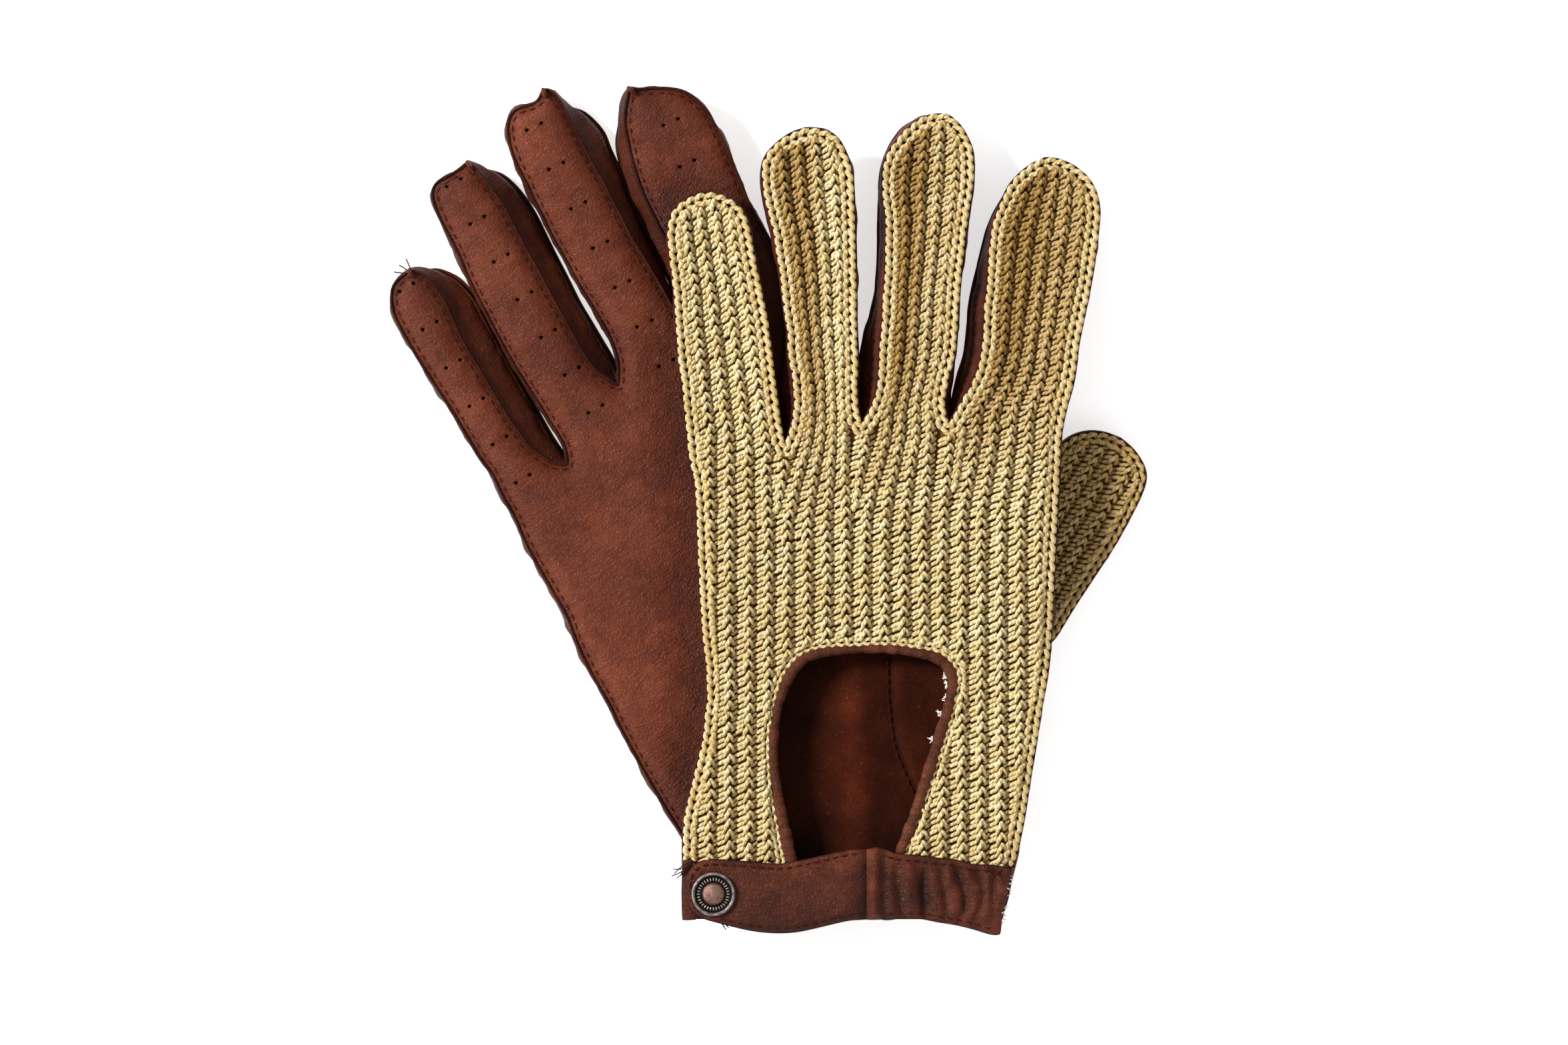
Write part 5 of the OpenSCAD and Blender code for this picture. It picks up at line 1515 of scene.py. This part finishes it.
    # the pocket's inner layer and its folded long edges
    inn = [(7.4, 18.6), (14, 17.4), (22, 16.8), (30, 15.8), (38, 14.6), (45.0, 13.9), (44.3, 8), (43.0, 2), (42.4, -2.6), (36, -1.2), (28, 0.4), (20, 1.7), (7.4, 1.7)]
    panel(b, curve(inn, 1.2, True), [], 1.6, lambda x, y: cw - 2.15 + 0 * x, lambda x, y: cw - 2.95 + 0.15 * fbm(x / 5, y / 5, 75, 2), (1, 0, 2), side=1, rim=0.2, step=1.2)
    for (ya, yb, sg) in (([(7.4, 0.9), (20, 1.0), (25, 0.1), (30, -0.7), (35, -1.8), (40, -3.2), (42.4, -3.5)], [(7.4, 1.7), (20, 1.7), (28, 0.4), (36, -1.2), (42.4, -2.6)], 1),
                         ([(8, 20.4), (14, 18.7), (20, 18.2), (25, 17.5), (30, 17.0), (35, 15.8), (40, 15.5), (45, 14.8)], [(8, 18.5), (14, 17.4), (22, 16.8), (30, 15.8), (38, 14.6), (45.0, 13.9)], -1)):
        A_, B_ = resample_n(curve(ya, 0.5), 34), resample_n(curve(yb, 0.5), 34)
        if sg < 0:
            A_, B_ = A_[::-1], B_[::-1]
        wall(b, A_[::-1], B_[::-1], lambda x, y: band_w(x, y) - 0.5, cw - 2.55, 0.45, thick=0.6, rows=6, sign=1, fold=0.1)
    tp = curve([(10.5, 18.4), (14, 17.5), (20, 17.0), (25, 16.3), (30, 15.8), (35, 14.6), (40, 14.3), (43.8, 13.7)], 0.5)
    stitch_path(b, tp, band_w, 1.7, 0.8, 0.3, mat=3, side=1, seed=81)
    bp = curve([(10.5, 2.2), (20, 2.3), (25, 1.5), (30, 0.6), (35, -0.6), (40, -2.1), (41.5, -2.4)], 0.5)
    stitch_path(b, bp, band_w, 1.8, 1.0, 0.24, mat=3, side=1, seed=82, lift=0.02)
    for (a0, a1) in (((40.4, 12.4), (43.6, 15.0)), ((40.6, 15.0), (43.4, 12.2)), ((41.9, 12.0), (42.1, 15.3))):
        c_ = np.array([a0, a1], float)
        stitch_path(b, resample_n(c_, 8), band_w, 3.4, 1.0, 0.34, mat=3, side=1, seed=83, lift=0.3)
    # frayed threads at the raw end
    rg = rng_for(91)
    st = []
    for k in range(16):
        y0 = rg.uniform(-2.5, 13.5)
        x0 = np.interp(y0, [-3, 2, 8, 14], [42.6, 43.2, 44.6, 45.5]) - 0.4
        w0 = cw - rg.uniform(0.4, 2.6)
        dx_, dy_, dw = rg.uniform(0.9, 2.0), rg.uniform(-1.2, 1.0), rg.uniform(-0.5, 0.5)
        s_ = np.linspace(0, 1, 5)
        st.append(np.column_stack([x0 + dx_ * s_, y0 + dy_ * s_ ** 1.5, w0 + dw * s_ + 0.3 * np.sin(3 * s_)]))
    p, q, t, uv, idx = strands(np.array(st), np.broadcast_to(np.linspace(0.2, 0.09, 5), (16, 5)), 5)
    b.add(p, [q, t], 4, uv=uv)
    band = b.make({"": side + "_band"}, ["leather_strap", "suede", "leather_edge", "thread", "lint"])[""]

    b = Build(place)
    el = [(9, 14.6), (20, 14.0), (30, 13.2), (44.2, 11.9), (43.5, 6), (42.6, 0.6), (30, 1.8), (20, 2.6), (9, 3.2)]
    panel(b, curve(el, 0.8, True, smooth=False), [], 0.8, lambda x, y: cw - 1.25 + 0.10 * np.sin(y * 3.4) + 0.06 * np.sin(x * 2.2), lambda x, y: cw - 2.0 + 0.08 * np.sin(y * 3.4), (0, 0, 0), side=1, rim=0.15, step=0.8)
    ela = b.make({"": side + "_elastic"}, ["elastic"])[""]

    b = Build(place)
    xl = -45.0 if side == "left" else -40.3
    tab = [(xl, 0.6), (xl - 0.2, 9), (xl - 0.3, cuff_top := 17.5), (-30, 17.4), (-14.5, 17.2), (-14.2, 9), (-14.4, 1.0), (-30, 0.8)]
    rr_ = np.arange(0, 2 * math.pi, 0.4)
    hole = np.stack([-38.5 + 1.75 * np.cos(rr_), 7.8 + 1.75 * np.sin(rr_)], 1)
    tw = lambda x, y: 6.5 + up_lift + 0.12 * fbm(x / 7, y / 6, 83, 2) * np.clip((np.hypot(x + 38.5, y - 7.8) - 5.2) / 3, 0, 1)
    panel(b, curve(tab, 1.1, True, smooth=False), [hole], 1.3, tw, lambda x, y: tw(x, y) - 0.95, (0, 1, 2), side=1, rim=0.25, step=1.1)
    stitch_path(b, curve([(xl + 1.4, 1.9), (-30, 2.0), (-16, 2.2)], 0.5), tw, 1.8, 0.9, 0.25, mat=3, side=1, seed=84)
    tabo = b.make({"": side + "_tab"}, ["leather_strap", "suede", "leather_edge", "thread"])[""]

    b = Build(place)
    hx0 = -45.0 if side == "left" else -40.6
    hem = [(hx0, 0.5), (hx0 - 0.3, 6), (hx0 - 0.3, 11.8), (0, 12.2), (30, 11.9), (44.9 if side == "left" else 44.6, 11.6), (44.0, 6), (42.6, 0.6), (20, 0.3), (-20, 0.3)]
    hw_in = lambda x, y: w_in(x, y) + 0.12 + 0 * x
    hw_out = lambda x, y: hw_in(x, y) + 0.75 + 0.10 * fbm(x / 4, y / 4, 87, 2)
    panel(b, curve(hem, 1.3, True, smooth=False), [], 1.5, hw_out, hw_in, (0, 1, 2), side=1, rim=0.25, step=1.3)
    stitch_path(b, curve([(hx0 + 1.5, 10.4), (0, 10.8), (30, 10.6), (43, 10.2)], 0.5), hw_out, 2.0, 0.9, 0.26, mat=3, side=1, seed=85)
    hemo = b.make({"": side + "_hem"}, ["leather_strap", "suede", "leather_edge", "thread"])[""]

    # --- strap
    b = Build(place)
    so = [(-46.3, 9), (-46, 12.5), (-44.3, 15.4), (-41.8, 16.9), (-39, 17.3), (-30, 16.8), (-20, 16), (-15, 16.8), (-10, 17.8), (-5, 19), (0, 20), (3, 20.3), (6.2, 20.3)]
    sb = [(6.2, 0.9), (3, 0.7), (0, 0.5), (-5, -0.6), (-10, -1.8), (-15, -2.8), (-20, -3.1), (-25, -2.8), (-30, -2), (-38, 0), (-42, 1.3), (-44.5, 3.2), (-45.9, 6), (-46.3, 9)]
    so_l, sb_l = curve(so, 0.9), curve(sb, 0.9)
    outl = np.concatenate([so_l, sb_l[:-1]])
    fs = Field(outl, 0.5, 6)
    sw0 = 9.5 + up_lift

    def strap_w(x, y):
        d = np.clip(fs(x, y), 0, None)
        away = np.clip((np.hypot(x + 38.5, y - 7.8) - 6.4) / 4, 0, 1)
        w = sw0 - 0.35 + (0.35 + 0.45 * away) * (1 - (1 - np.clip(d / 2.2, 0, 1)) ** 2)
        w = w + away * (0.16 * fbm(x / 9, y / 8, 91, 2) + 0.07 * fbm(x / 2.5, y / 4, 93, 2))
        w = w - 0.35 * sstep(x, 0.5, 4.5) * 1.0
        return w - 0.18 * np.exp(-(((d - 1.15) / 0.4) ** 2)) * away

    def strap_dk(x, y):
        d = fs(x, y)
        rc = np.hypot(x + 38.5, y - 7.8)
        # painted shade along the edge, round the snap cap, over the right end where the strap dips and in the stitched
        # channel; a random tone; and darker towards the lower edge
        return (1 - 0.2 * np.exp(-np.clip(d, 0, None) / 0.5)) * (1 - 0.35 * np.exp(-np.clip(rc - 6.1, 0, None) / 0.8)) * (1 - 0.62 * sstep(x, 0.5, 5.0)) * (1 - 0.2 * sstep(x, -9, 1)) * (1 - 0.3 * np.exp(-(((d - 1.15) / 0.45) ** 2))) * (1.04 + 0.14 * fbm(x / 9, y / 8, 91, 2)) * (0.78 + 0.36 * sstep(y - 0.02 * x, -3, 9))

    hole2 = np.stack([-38.5 + 1.95 * np.cos(rr_), 7.8 + 1.95 * np.sin(rr_)], 1)
    panel(b, outl, [hole2], 1.0, strap_w, lambda x, y: strap_w(x, y) * 0 + sw0 - 1.0 + 0.0 * x, (0, 1, 2), side=1, rim=0.35, seed=9, dk=strap_dk, step=0.95)
    il = so_l - normals2(so_l, False) * 1.15
    stitch_path(b, il[il[:, 0] < 4.5], strap_w, 1.9, 0.75, 0.27, mat=3, side=1, seed=86)
    ib = sb_l - normals2(sb_l, False) * 1.15
    stitch_path(b, ib[ib[:, 0] < 4.5], strap_w, 1.9, 0.75, 0.24, mat=3, side=1, seed=87, lift=0.04)
    strap = b.make({"": side + "_strap_leather"}, ["leather_strap", "suede", "leather_edge", "thread"])[""]

    # --- snap cap
    b = Build(place)
    prof = [(0.0, -1.0), (1.7, -1.0), (1.7, 0.02), (5.9, 0.02), (6.18, 0.16), (6.25, 0.45), (6.2, 0.85), (6.0, 1.18), (5.72, 1.28), (5.45, 1.16), (5.28, 0.9), (5.18, 0.76), (3.2, 0.74),
            (3.08, 0.82), (2.98, 1.08), (2.8, 1.32), (2.4, 1.50), (1.7, 1.66), (0.9, 1.74), (0.0, 1.77)]
    prof = np.array(prof)
    K = 72
    th = np.arange(K) / K * 2 * math.pi
    ring = prof[1:-1]
    P = np.stack([np.column_stack([-38.5 + r * np.cos(th), 7.8 + r * np.sin(th), np.full(K, sw0 + z)]) for r, z in ring]).reshape(-1, 3)
    nr = len(ring)
    P = np.concatenate([P, [[-38.5, 7.8, sw0 - 1.0], [-38.5, 7.8, sw0 + 1.77]]])
    q = grid_faces(nr, K, True)
    k = np.arange(K)
    t0 = np.stack([np.full(K, nr * K), (k + 1) % K, k], 1)
    t1 = np.stack([np.full(K, nr * K + 1), (nr - 1) * K + k, (nr - 1) * K + (k + 1) % K], 1)
    row = q[:, 0] // K
    dkr = np.repeat(np.interp(np.arange(nr), np.arange(nr), [0.95 if (5.2 < r or r < 3.1) else 0.0 for r, z in ring]), K)
    m_q = np.where(row >= nr - 7, 1, 0)
    b.add(P, [q[m_q == 0], q[m_q == 1], t0, t1], [0, 1, 0, 1], dk=np.concatenate([dkr, [0.5, 1.0]]))
    # a ring of plain beads in the groove
    nb = 32
    th = np.arange(nb) / nb * 2 * math.pi
    s_ = np.linspace(-1, 1, 5)
    BP = np.stack([np.column_stack([-38.5 + (4.2 + s_ * 0.5) * np.cos(a), 7.8 + (4.2 + s_ * 0.5) * np.sin(a), np.full(5, sw0 + 0.78)]) for a in th])
    p, q, t, uv, idx = strands(BP, np.broadcast_to(np.array([0.12, 0.22, 0.25, 0.22, 0.12]), (nb, 5)), 8)
    b.add(p, [q, t], 0, dk=1.1, uv=uv)
    cap = b.make({"": side + "_cap"}, ["bronze", "copper"], custom_normals=False)[""]

    # --- bodies
    for o, nd in ((pal[""], "palm_leather"), (key, "keyhole_binding"), (band, "cuff_band"), (ela, "cuff_elastic"), (tabo, "snap_tab"), (hemo, "palm_hem"), (kn[""], "crochet_back")):
        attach(o, hand)
        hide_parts(f"{side}_{nd}")
    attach(sid[""], hand)
    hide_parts(f"{side}_palm_edge_wrap", f"{side}_fourchettes")
    for o, nd in ((strap, "wrist_strap"), (cap, "snap_cap")):
        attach(o, side + "_strap")
        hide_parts(f"{side}_{nd}")
    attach(ke[""], hand)
    for k in fnames:
        j = JOINT[f"{side}_{k}_bend"]
        ff = place.fingers[k]
        L_ = math.hypot(ff[2] - ff[0], ff[3] - ff[1])
        dx, dy = (ff[2] - ff[0]) / L_, (ff[3] - ff[1]) / L_
        r = 0.005 if (side, k) == ("right", "index") else 0.009
        for grp, nd in ((pal, "front"), (sid, "fourchettes"), (kn, "back"), (ke, "")):
            o = grp.get(k)
            if o is None:
                continue
            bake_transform(o)
            if nd:
                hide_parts(f"{side}_{k}_{nd}")
    for nd in ("snap_stud", "snap_post", "snap_socket"):
        o = frame["nodes"][f"{side}_{nd}"]
        o.data.materials.clear()
        o.data.materials.append(MATS["cad_metal"])
    return S


# ------------------------------------------------------------------ thumbs
def build_thumb(side):
    g = SIDES[side]["place"]
    if side == "left":
        px, py, deg, w0 = 48.1, 87.2, 31.0, -11.6
        sec = [[(-12.6, -3), (-13.2, 5), (-13.7, 18), (-14, 32), (-13.9, 44), (-12.3, 50.3), (-9, 54.5), (-4.6, 56.9), (0, 57.8)],
               [(0, 57.8), (4.5, 57), (8.8, 55), (11.5, 52.4), (12.8, 48), (13.5, 40), (13.8, 31), (13.4, 20), (13.0, 10), (12.9, 2), (12.3, -4)]]
        base = [(12.3, -4), (9.6, -8.4), (5, -11.6), (0, -12.7), (-5, -11.6), (-9.6, -8.4), (-12.6, -3)]
    else:
        px, py, deg, w0 = 60.0, 74.0, 70.0, 1.5
        sec = [[(-12.8, 11.0), (-13.4, 18), (-13.4, 27), (-11.8, 34), (-8.6, 38.2), (-4.4, 40.5), (0, 41.1)],
               [(0, 41.1), (4.4, 40.4), (8.6, 38), (11.8, 33.8), (13.2, 27), (13.4, 18), (13.1, 9.3)]]
        base = [(13.1, 9.3), (11, 5.4), (7, 3.9), (0, 4.4), (-6, 6.6), (-10.5, 9.2), (-12.8, 11.0)]
    X, Y = g.xy(px, py)
    place = Place(X, Y, g.turn - math.radians(deg), g.z0 + g.up * w0, g.up, {}, side + "_thumb")
    top = 9.5
    kb = top - 3.05
    secs = [curve(s, 1.2, False) for s in sec] + ([curve(base, 1.2, False)] if base else [])
    loop = np.concatenate([s[:-1] for s in secs[:-1]] + [secs[-1][:-1] if base else secs[-1]])
    B = loop + normals2(loop, True if base else False) * 0.35
    fB, fT = Field(B, 0.7, 10), Field(loop, 0.7, 10)

    def relief(x, y):
        d = np.clip(fB(x, y), 0, None)
        q = 1 - np.clip(d / 6, 0, 1)
        o = 0.9 * (1 - q * q) + 0.12 * fbm(x / 9, y / 8, 131, 2) * np.clip(d / 3, 0, 1)
        for a, dep in ((24, 0.25), (28, 0.2), (40, 0.15)):
            o = o - dep * np.exp(-(((y - a - 0.08 * x) / 1.3) ** 2)) * np.clip(d / 2, 0, 1)
        return o - 0.2 * np.exp(-(((fB(x, y) - 1.4) / 0.5) ** 2))

    w_out = lambda x, y: 1.15 - relief(x, y)
    b = Build(place)
    # painted shade along the edge of the thumb's leather
    panel(b, B, [], 1.3, w_out, lambda x, y: w_out(x, y) + 1.0, (0, 1, 2), side=-1, rim=0.25, dk=lambda x, y: 1 - 0.2 * np.exp(-np.clip(fB(x, y), 0, None) / 0.6), step=1.2)
    if base:
        Bc, Tc = np.vstack([B, B[:1]]), np.vstack([loop, loop[:1]])
    else:
        Bc, Tc = B, loop
    wall(b, Bc, Tc, 1.3, kb + 0.5, 0.7, rows=7, sign=-1, fold=0.35, seed=141, mat=3, mat_in=1)
    p, q, t, uv = tube(np.column_stack([Bc + normals2(Bc, False) * 0.2, np.full(len(Bc), 1.2)]), 0.5, 0.65, 8)
    b.add(p, [q, t], 2, uv=uv)
    p, q, t, uv = tube(np.column_stack([Tc + normals2(Tc, False) * 0.3, np.full(len(Tc), kb + 0.55)]), 0.5, 0.65, 8)
    b.add(p, [q, t], 2, uv=uv)
    inner = curve(Bc, 0.8, False, smooth=False)
    inner = inner - normals2(inner, False) * 1.4
    inner = inner[fB(inner[:, 0], inner[:, 1]) > 1.1]
    stitch_path(b, inner, w_out, 2.1, 0.85, 0.27, mat=4, side=-1, seed=151, lift=0.1)
    shell = b.make({"": side + "_thumb_shell"}, ["leather", "suede", "leather_edge", "leather_side", "thread"])[""]

    b = Build(place)

    def w_k(x, y):
        d = np.clip(fT(x, y), 0, None)
        q = 1 - np.clip(d / 2.4, 0, 1)
        return kb - 0.5 * (1 - np.exp(-d / 5)) * (side == "left") - 0.6 * q * q

    holes = []
    if side == "left":
        a = np.arange(0, 2 * math.pi, 0.16)
        holes = [np.stack([9.5 * np.cos(a), 9.5 * np.sin(a)], 1)]
    panel(b, loop - normals2(loop, bool(base)) * 0.5, holes, 1.5, w_k, lambda x, y: w_k(x, y) - 0.9, (1, 1, 1), side=1, rim=0.1, step=1.3)
    ribs = []
    yy = np.arange(-14, 58, 1.0) if side == "left" else np.arange(3.0, 42, 1.0)
    for j in range(-1, 6):
        x = -10.2 + 5.1 * j + 0.02 * yy
        ribs.append((np.stack([x, yy], 1), np.full(len(yy), 5.1)))
    clip = lambda x, y: (fT(x, y) > 0.5) & ((np.hypot(x, y) > 9.0) if side == "left" else (y > 2.5))
    clip_s = lambda x, y: (fT(x, y) > 2.4) & ((np.hypot(x, y) > 10.2) if side == "left" else (y > 2.5))
    # the left thumb lies lower, under the hand's edge: its yarn is painted 30% darker, painted shade
    th_tone = (lambda x, y: 0.70 + 0 * x) if side == "left" else None
    knit_cells(b, ribs, w_k, clip, 400 if side == "left" else 450, K=6 if side == "left" else 5, tone=th_tone, clip_strand=clip_s)
    cp = np.vstack([loop, loop[:1]]) if base else loop
    ch = curve(cp, 0.9, False, smooth=False)
    ch = ch - normals2(ch, False) * 1.4
    if side == "left":
        ch = ch[(ch[:, 1] > -6)]
        brk = np.nonzero(np.linalg.norm(np.diff(ch, axis=0), axis=1) > 3)[0]
        runs = np.split(np.arange(len(ch)), brk + 1)
    else:
        runs = [np.arange(len(ch))]
    for ri, run in enumerate(runs):
        if len(run) > 6:
            # the left thumb's chain is painted darker (0.66) for the same painted shade
            chain(b, ch[run], w_k, seed=460 + ri, half=1.2, r=0.68, tone=0.66 if side == "left" else 0.86)
    knit = b.make({"": side + "_thumb_knit"}, ["yarn", "knit_base"], custom_normals=False)[""]
    for o, nd, sl in ((shell, "thumb_leather", "leather"), (knit, "thumb_back", "crochet")):
        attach(o, side + "_thumb")
        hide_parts(f"{side}_{nd}")

    # gusset, which stays on the hand
    b = Build(g)
    if side == "left":
        th = np.linspace(0, 2 * math.pi, 61)
        rows = 6
        t = np.linspace(0, 1, rows)[:, None]
        r = 10.4 + 0.9 * np.sin(math.pi * t) + 0.35 * vnoise(th[None] * 4.5 + 0 * t, t * 2, 161)
        r[:, -1] = r[:, 0]
        G = np.stack([px + r * np.cos(th)[None], py + r * np.sin(th)[None], -2.3 + 3.2 * t + 0 * th[None]], -1)
        sheet_grid(b, G, 0.7, 0, 1, sign=1)
    else:
        go = [(54.6, 60.5), (62, 60.9), (69.6, 65.6), (73, 74), (71, 82.6), (63, 88.6), (58, 89), (57.4, 80.5), (56.3, 70.5)]
        fg = Field(curve(go, 1.0, True), 0.6, 6)
        wo = lambda x, y: 0.75 - 0.6 * (1 - (1 - np.clip(fg(x, y) / 4, 0, 1)) ** 2) + 0.1 * fbm(x / 4, y / 4, 163, 2)
        panel(b, curve(go, 1.2, True), [], 1.3, wo, lambda x, y: wo(x, y) + 0.8, (0, 1, 0), side=-1, rim=0.3, step=1.2)
    gus = b.make({"": side + "_gusset"}, ["leather_side", "suede"])[""]
    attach(gus, side + "_hand")
    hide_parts(side + "_thumb_gusset")


def loose_ends():
    """Frayed knit inside the keyhole, the thumb seam that shows there, and thread tufts at the strap."""
    g = SIDES["left"]["place"]
    w_out = SIDES["left"]["w_out"]
    b = Build(g)
    c = curve([(12, 77), (12.2, 68), (12.6, 60), (14, 50), (17, 42), (20, 35.5), (24, 29)], 0.8)
    patch = np.concatenate([c, curve([(30, 30), (34.5, 48), (35.5, 66), (31, 79), (22, 80)], 1.0)])
    fp = Field(patch, 0.6, 6)
    wi = lambda x, y: w_out(x, y) + 1.5 + 0.9 * (1 - (1 - np.clip(fp(x, y) / 2.5, 0, 1)) ** 2) + 0.2 * fbm(x / 4, y / 7, 171, 2)
    # the seam patch deep in the keyhole is painted dark, painted shade, with a painted highlight just inside its raised
    # edge and painted shade right at the edge
    panel(b, patch, [], 1.2, wi, lambda x, y: w_out(x, y) + 1.05, (0, 0, 1), side=1, rim=0.2, step=1.0, dk=lambda x, y: 0.62 + 0.25 * np.exp(-np.clip(fp(x, y) - 0.6, 0, None) / 1.2) - 0.45 * np.exp(-np.clip(fp(x, y), 0, None) / 0.5))
    stitch_path(b, c - normals2(c, False) * 1.2, wi, 1.8, 0.9, 0.25, mat=2, side=1, seed=88)
    o = b.make({"": "left_thumb_seam"}, ["suede", "leather_edge", "thread"])[""]
    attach(o, "left_hand")
    rg = rng_for(181)
    b = Build(g)
    st = []
    for (x0, y0, n, spread) in ((27.8, 69.6, 8, 0.9), (27.9, 66.8, 7, 1.0), (26.3, 58.4, 7, 1.2), (23.8, 51.6, 5, 0.8), (27.6, 63.2, 4, 0.9)):
        for k in range(n):
            a = rg.uniform(2.2, 4.2)
            L = rg.uniform(0.7, 1.7)
            s_ = np.linspace(0, 1, 5)
            bend = rg.uniform(-1.2, 1.2)
            yb = y0 + rg.uniform(-spread, spread)
            st.append(np.column_stack([x0 + L * s_ * np.cos(a + bend * s_), yb + L * s_ * np.sin(a + bend * s_), 8.6 - 1.3 * s_ + 0.5 * np.sin(3 * s_)]))
    P = np.array(st)
    p, q, t, uv, idx = strands(P, np.broadcast_to(np.array([0.2, 0.22, 0.2, 0.16, 0.09]), P.shape[:2]), 6)
    b.add(p, [q, t], 0, uv=uv)
    # dark thread tuft beside the strap
    st = []
    for k, (ex, ey, bow) in enumerate(((-50.4, 12.8, 0.6), (-49.6, 13.4, -0.5), (-48.9, 12.2, 0.3), (-50.0, 14.8, 0.9), (-47.9, 13.0, -0.3))):
        s_ = np.linspace(0, 1, 6)
        st.append(np.column_stack([-44.2 + (ex + 44.2) * s_ + bow * np.sin(3.1 * s_) * 0.5, 17.2 + (ey - 17.2) * s_ - bow * np.sin(3.1 * s_), 10.6 - 0.9 * s_ * s_ + 0.1 * k]))
    for (x0, y0, ex, ey) in ((-36.4, -0.2, -35.0, -2.4), (-35.9, -0.1, -34.2, -1.9)):
        s_ = np.linspace(0, 1, 6)
        st.append(np.column_stack([x0 + (ex - x0) * s_, y0 + (ey - y0) * s_, 10.3 - 0.5 * s_ + 0.3 * np.sin(3 * s_)]))
    P = np.array(st)
    p, q, t, uv, idx = strands(P, np.broadcast_to(np.linspace(0.24, 0.15, 6), P.shape[:2]), 6)
    b.add(p, [q, t], 1, uv=uv)
    o = b.make({"": "left_loose_ends"}, ["lint", "thread_dark"], custom_normals=False)[""]
    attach(o, "left_hand")


build_glove("left")
build_glove("right")
build_thumb("left")
build_thumb("right")
loose_ends()

big = [(o.name, n) for o in bpy.data.objects if o.type == "MESH" for n in [sum(len(p.vertices) - 2 for p in o.data.polygons)] if n > 150000]
print("triangles over 150,000:", big)
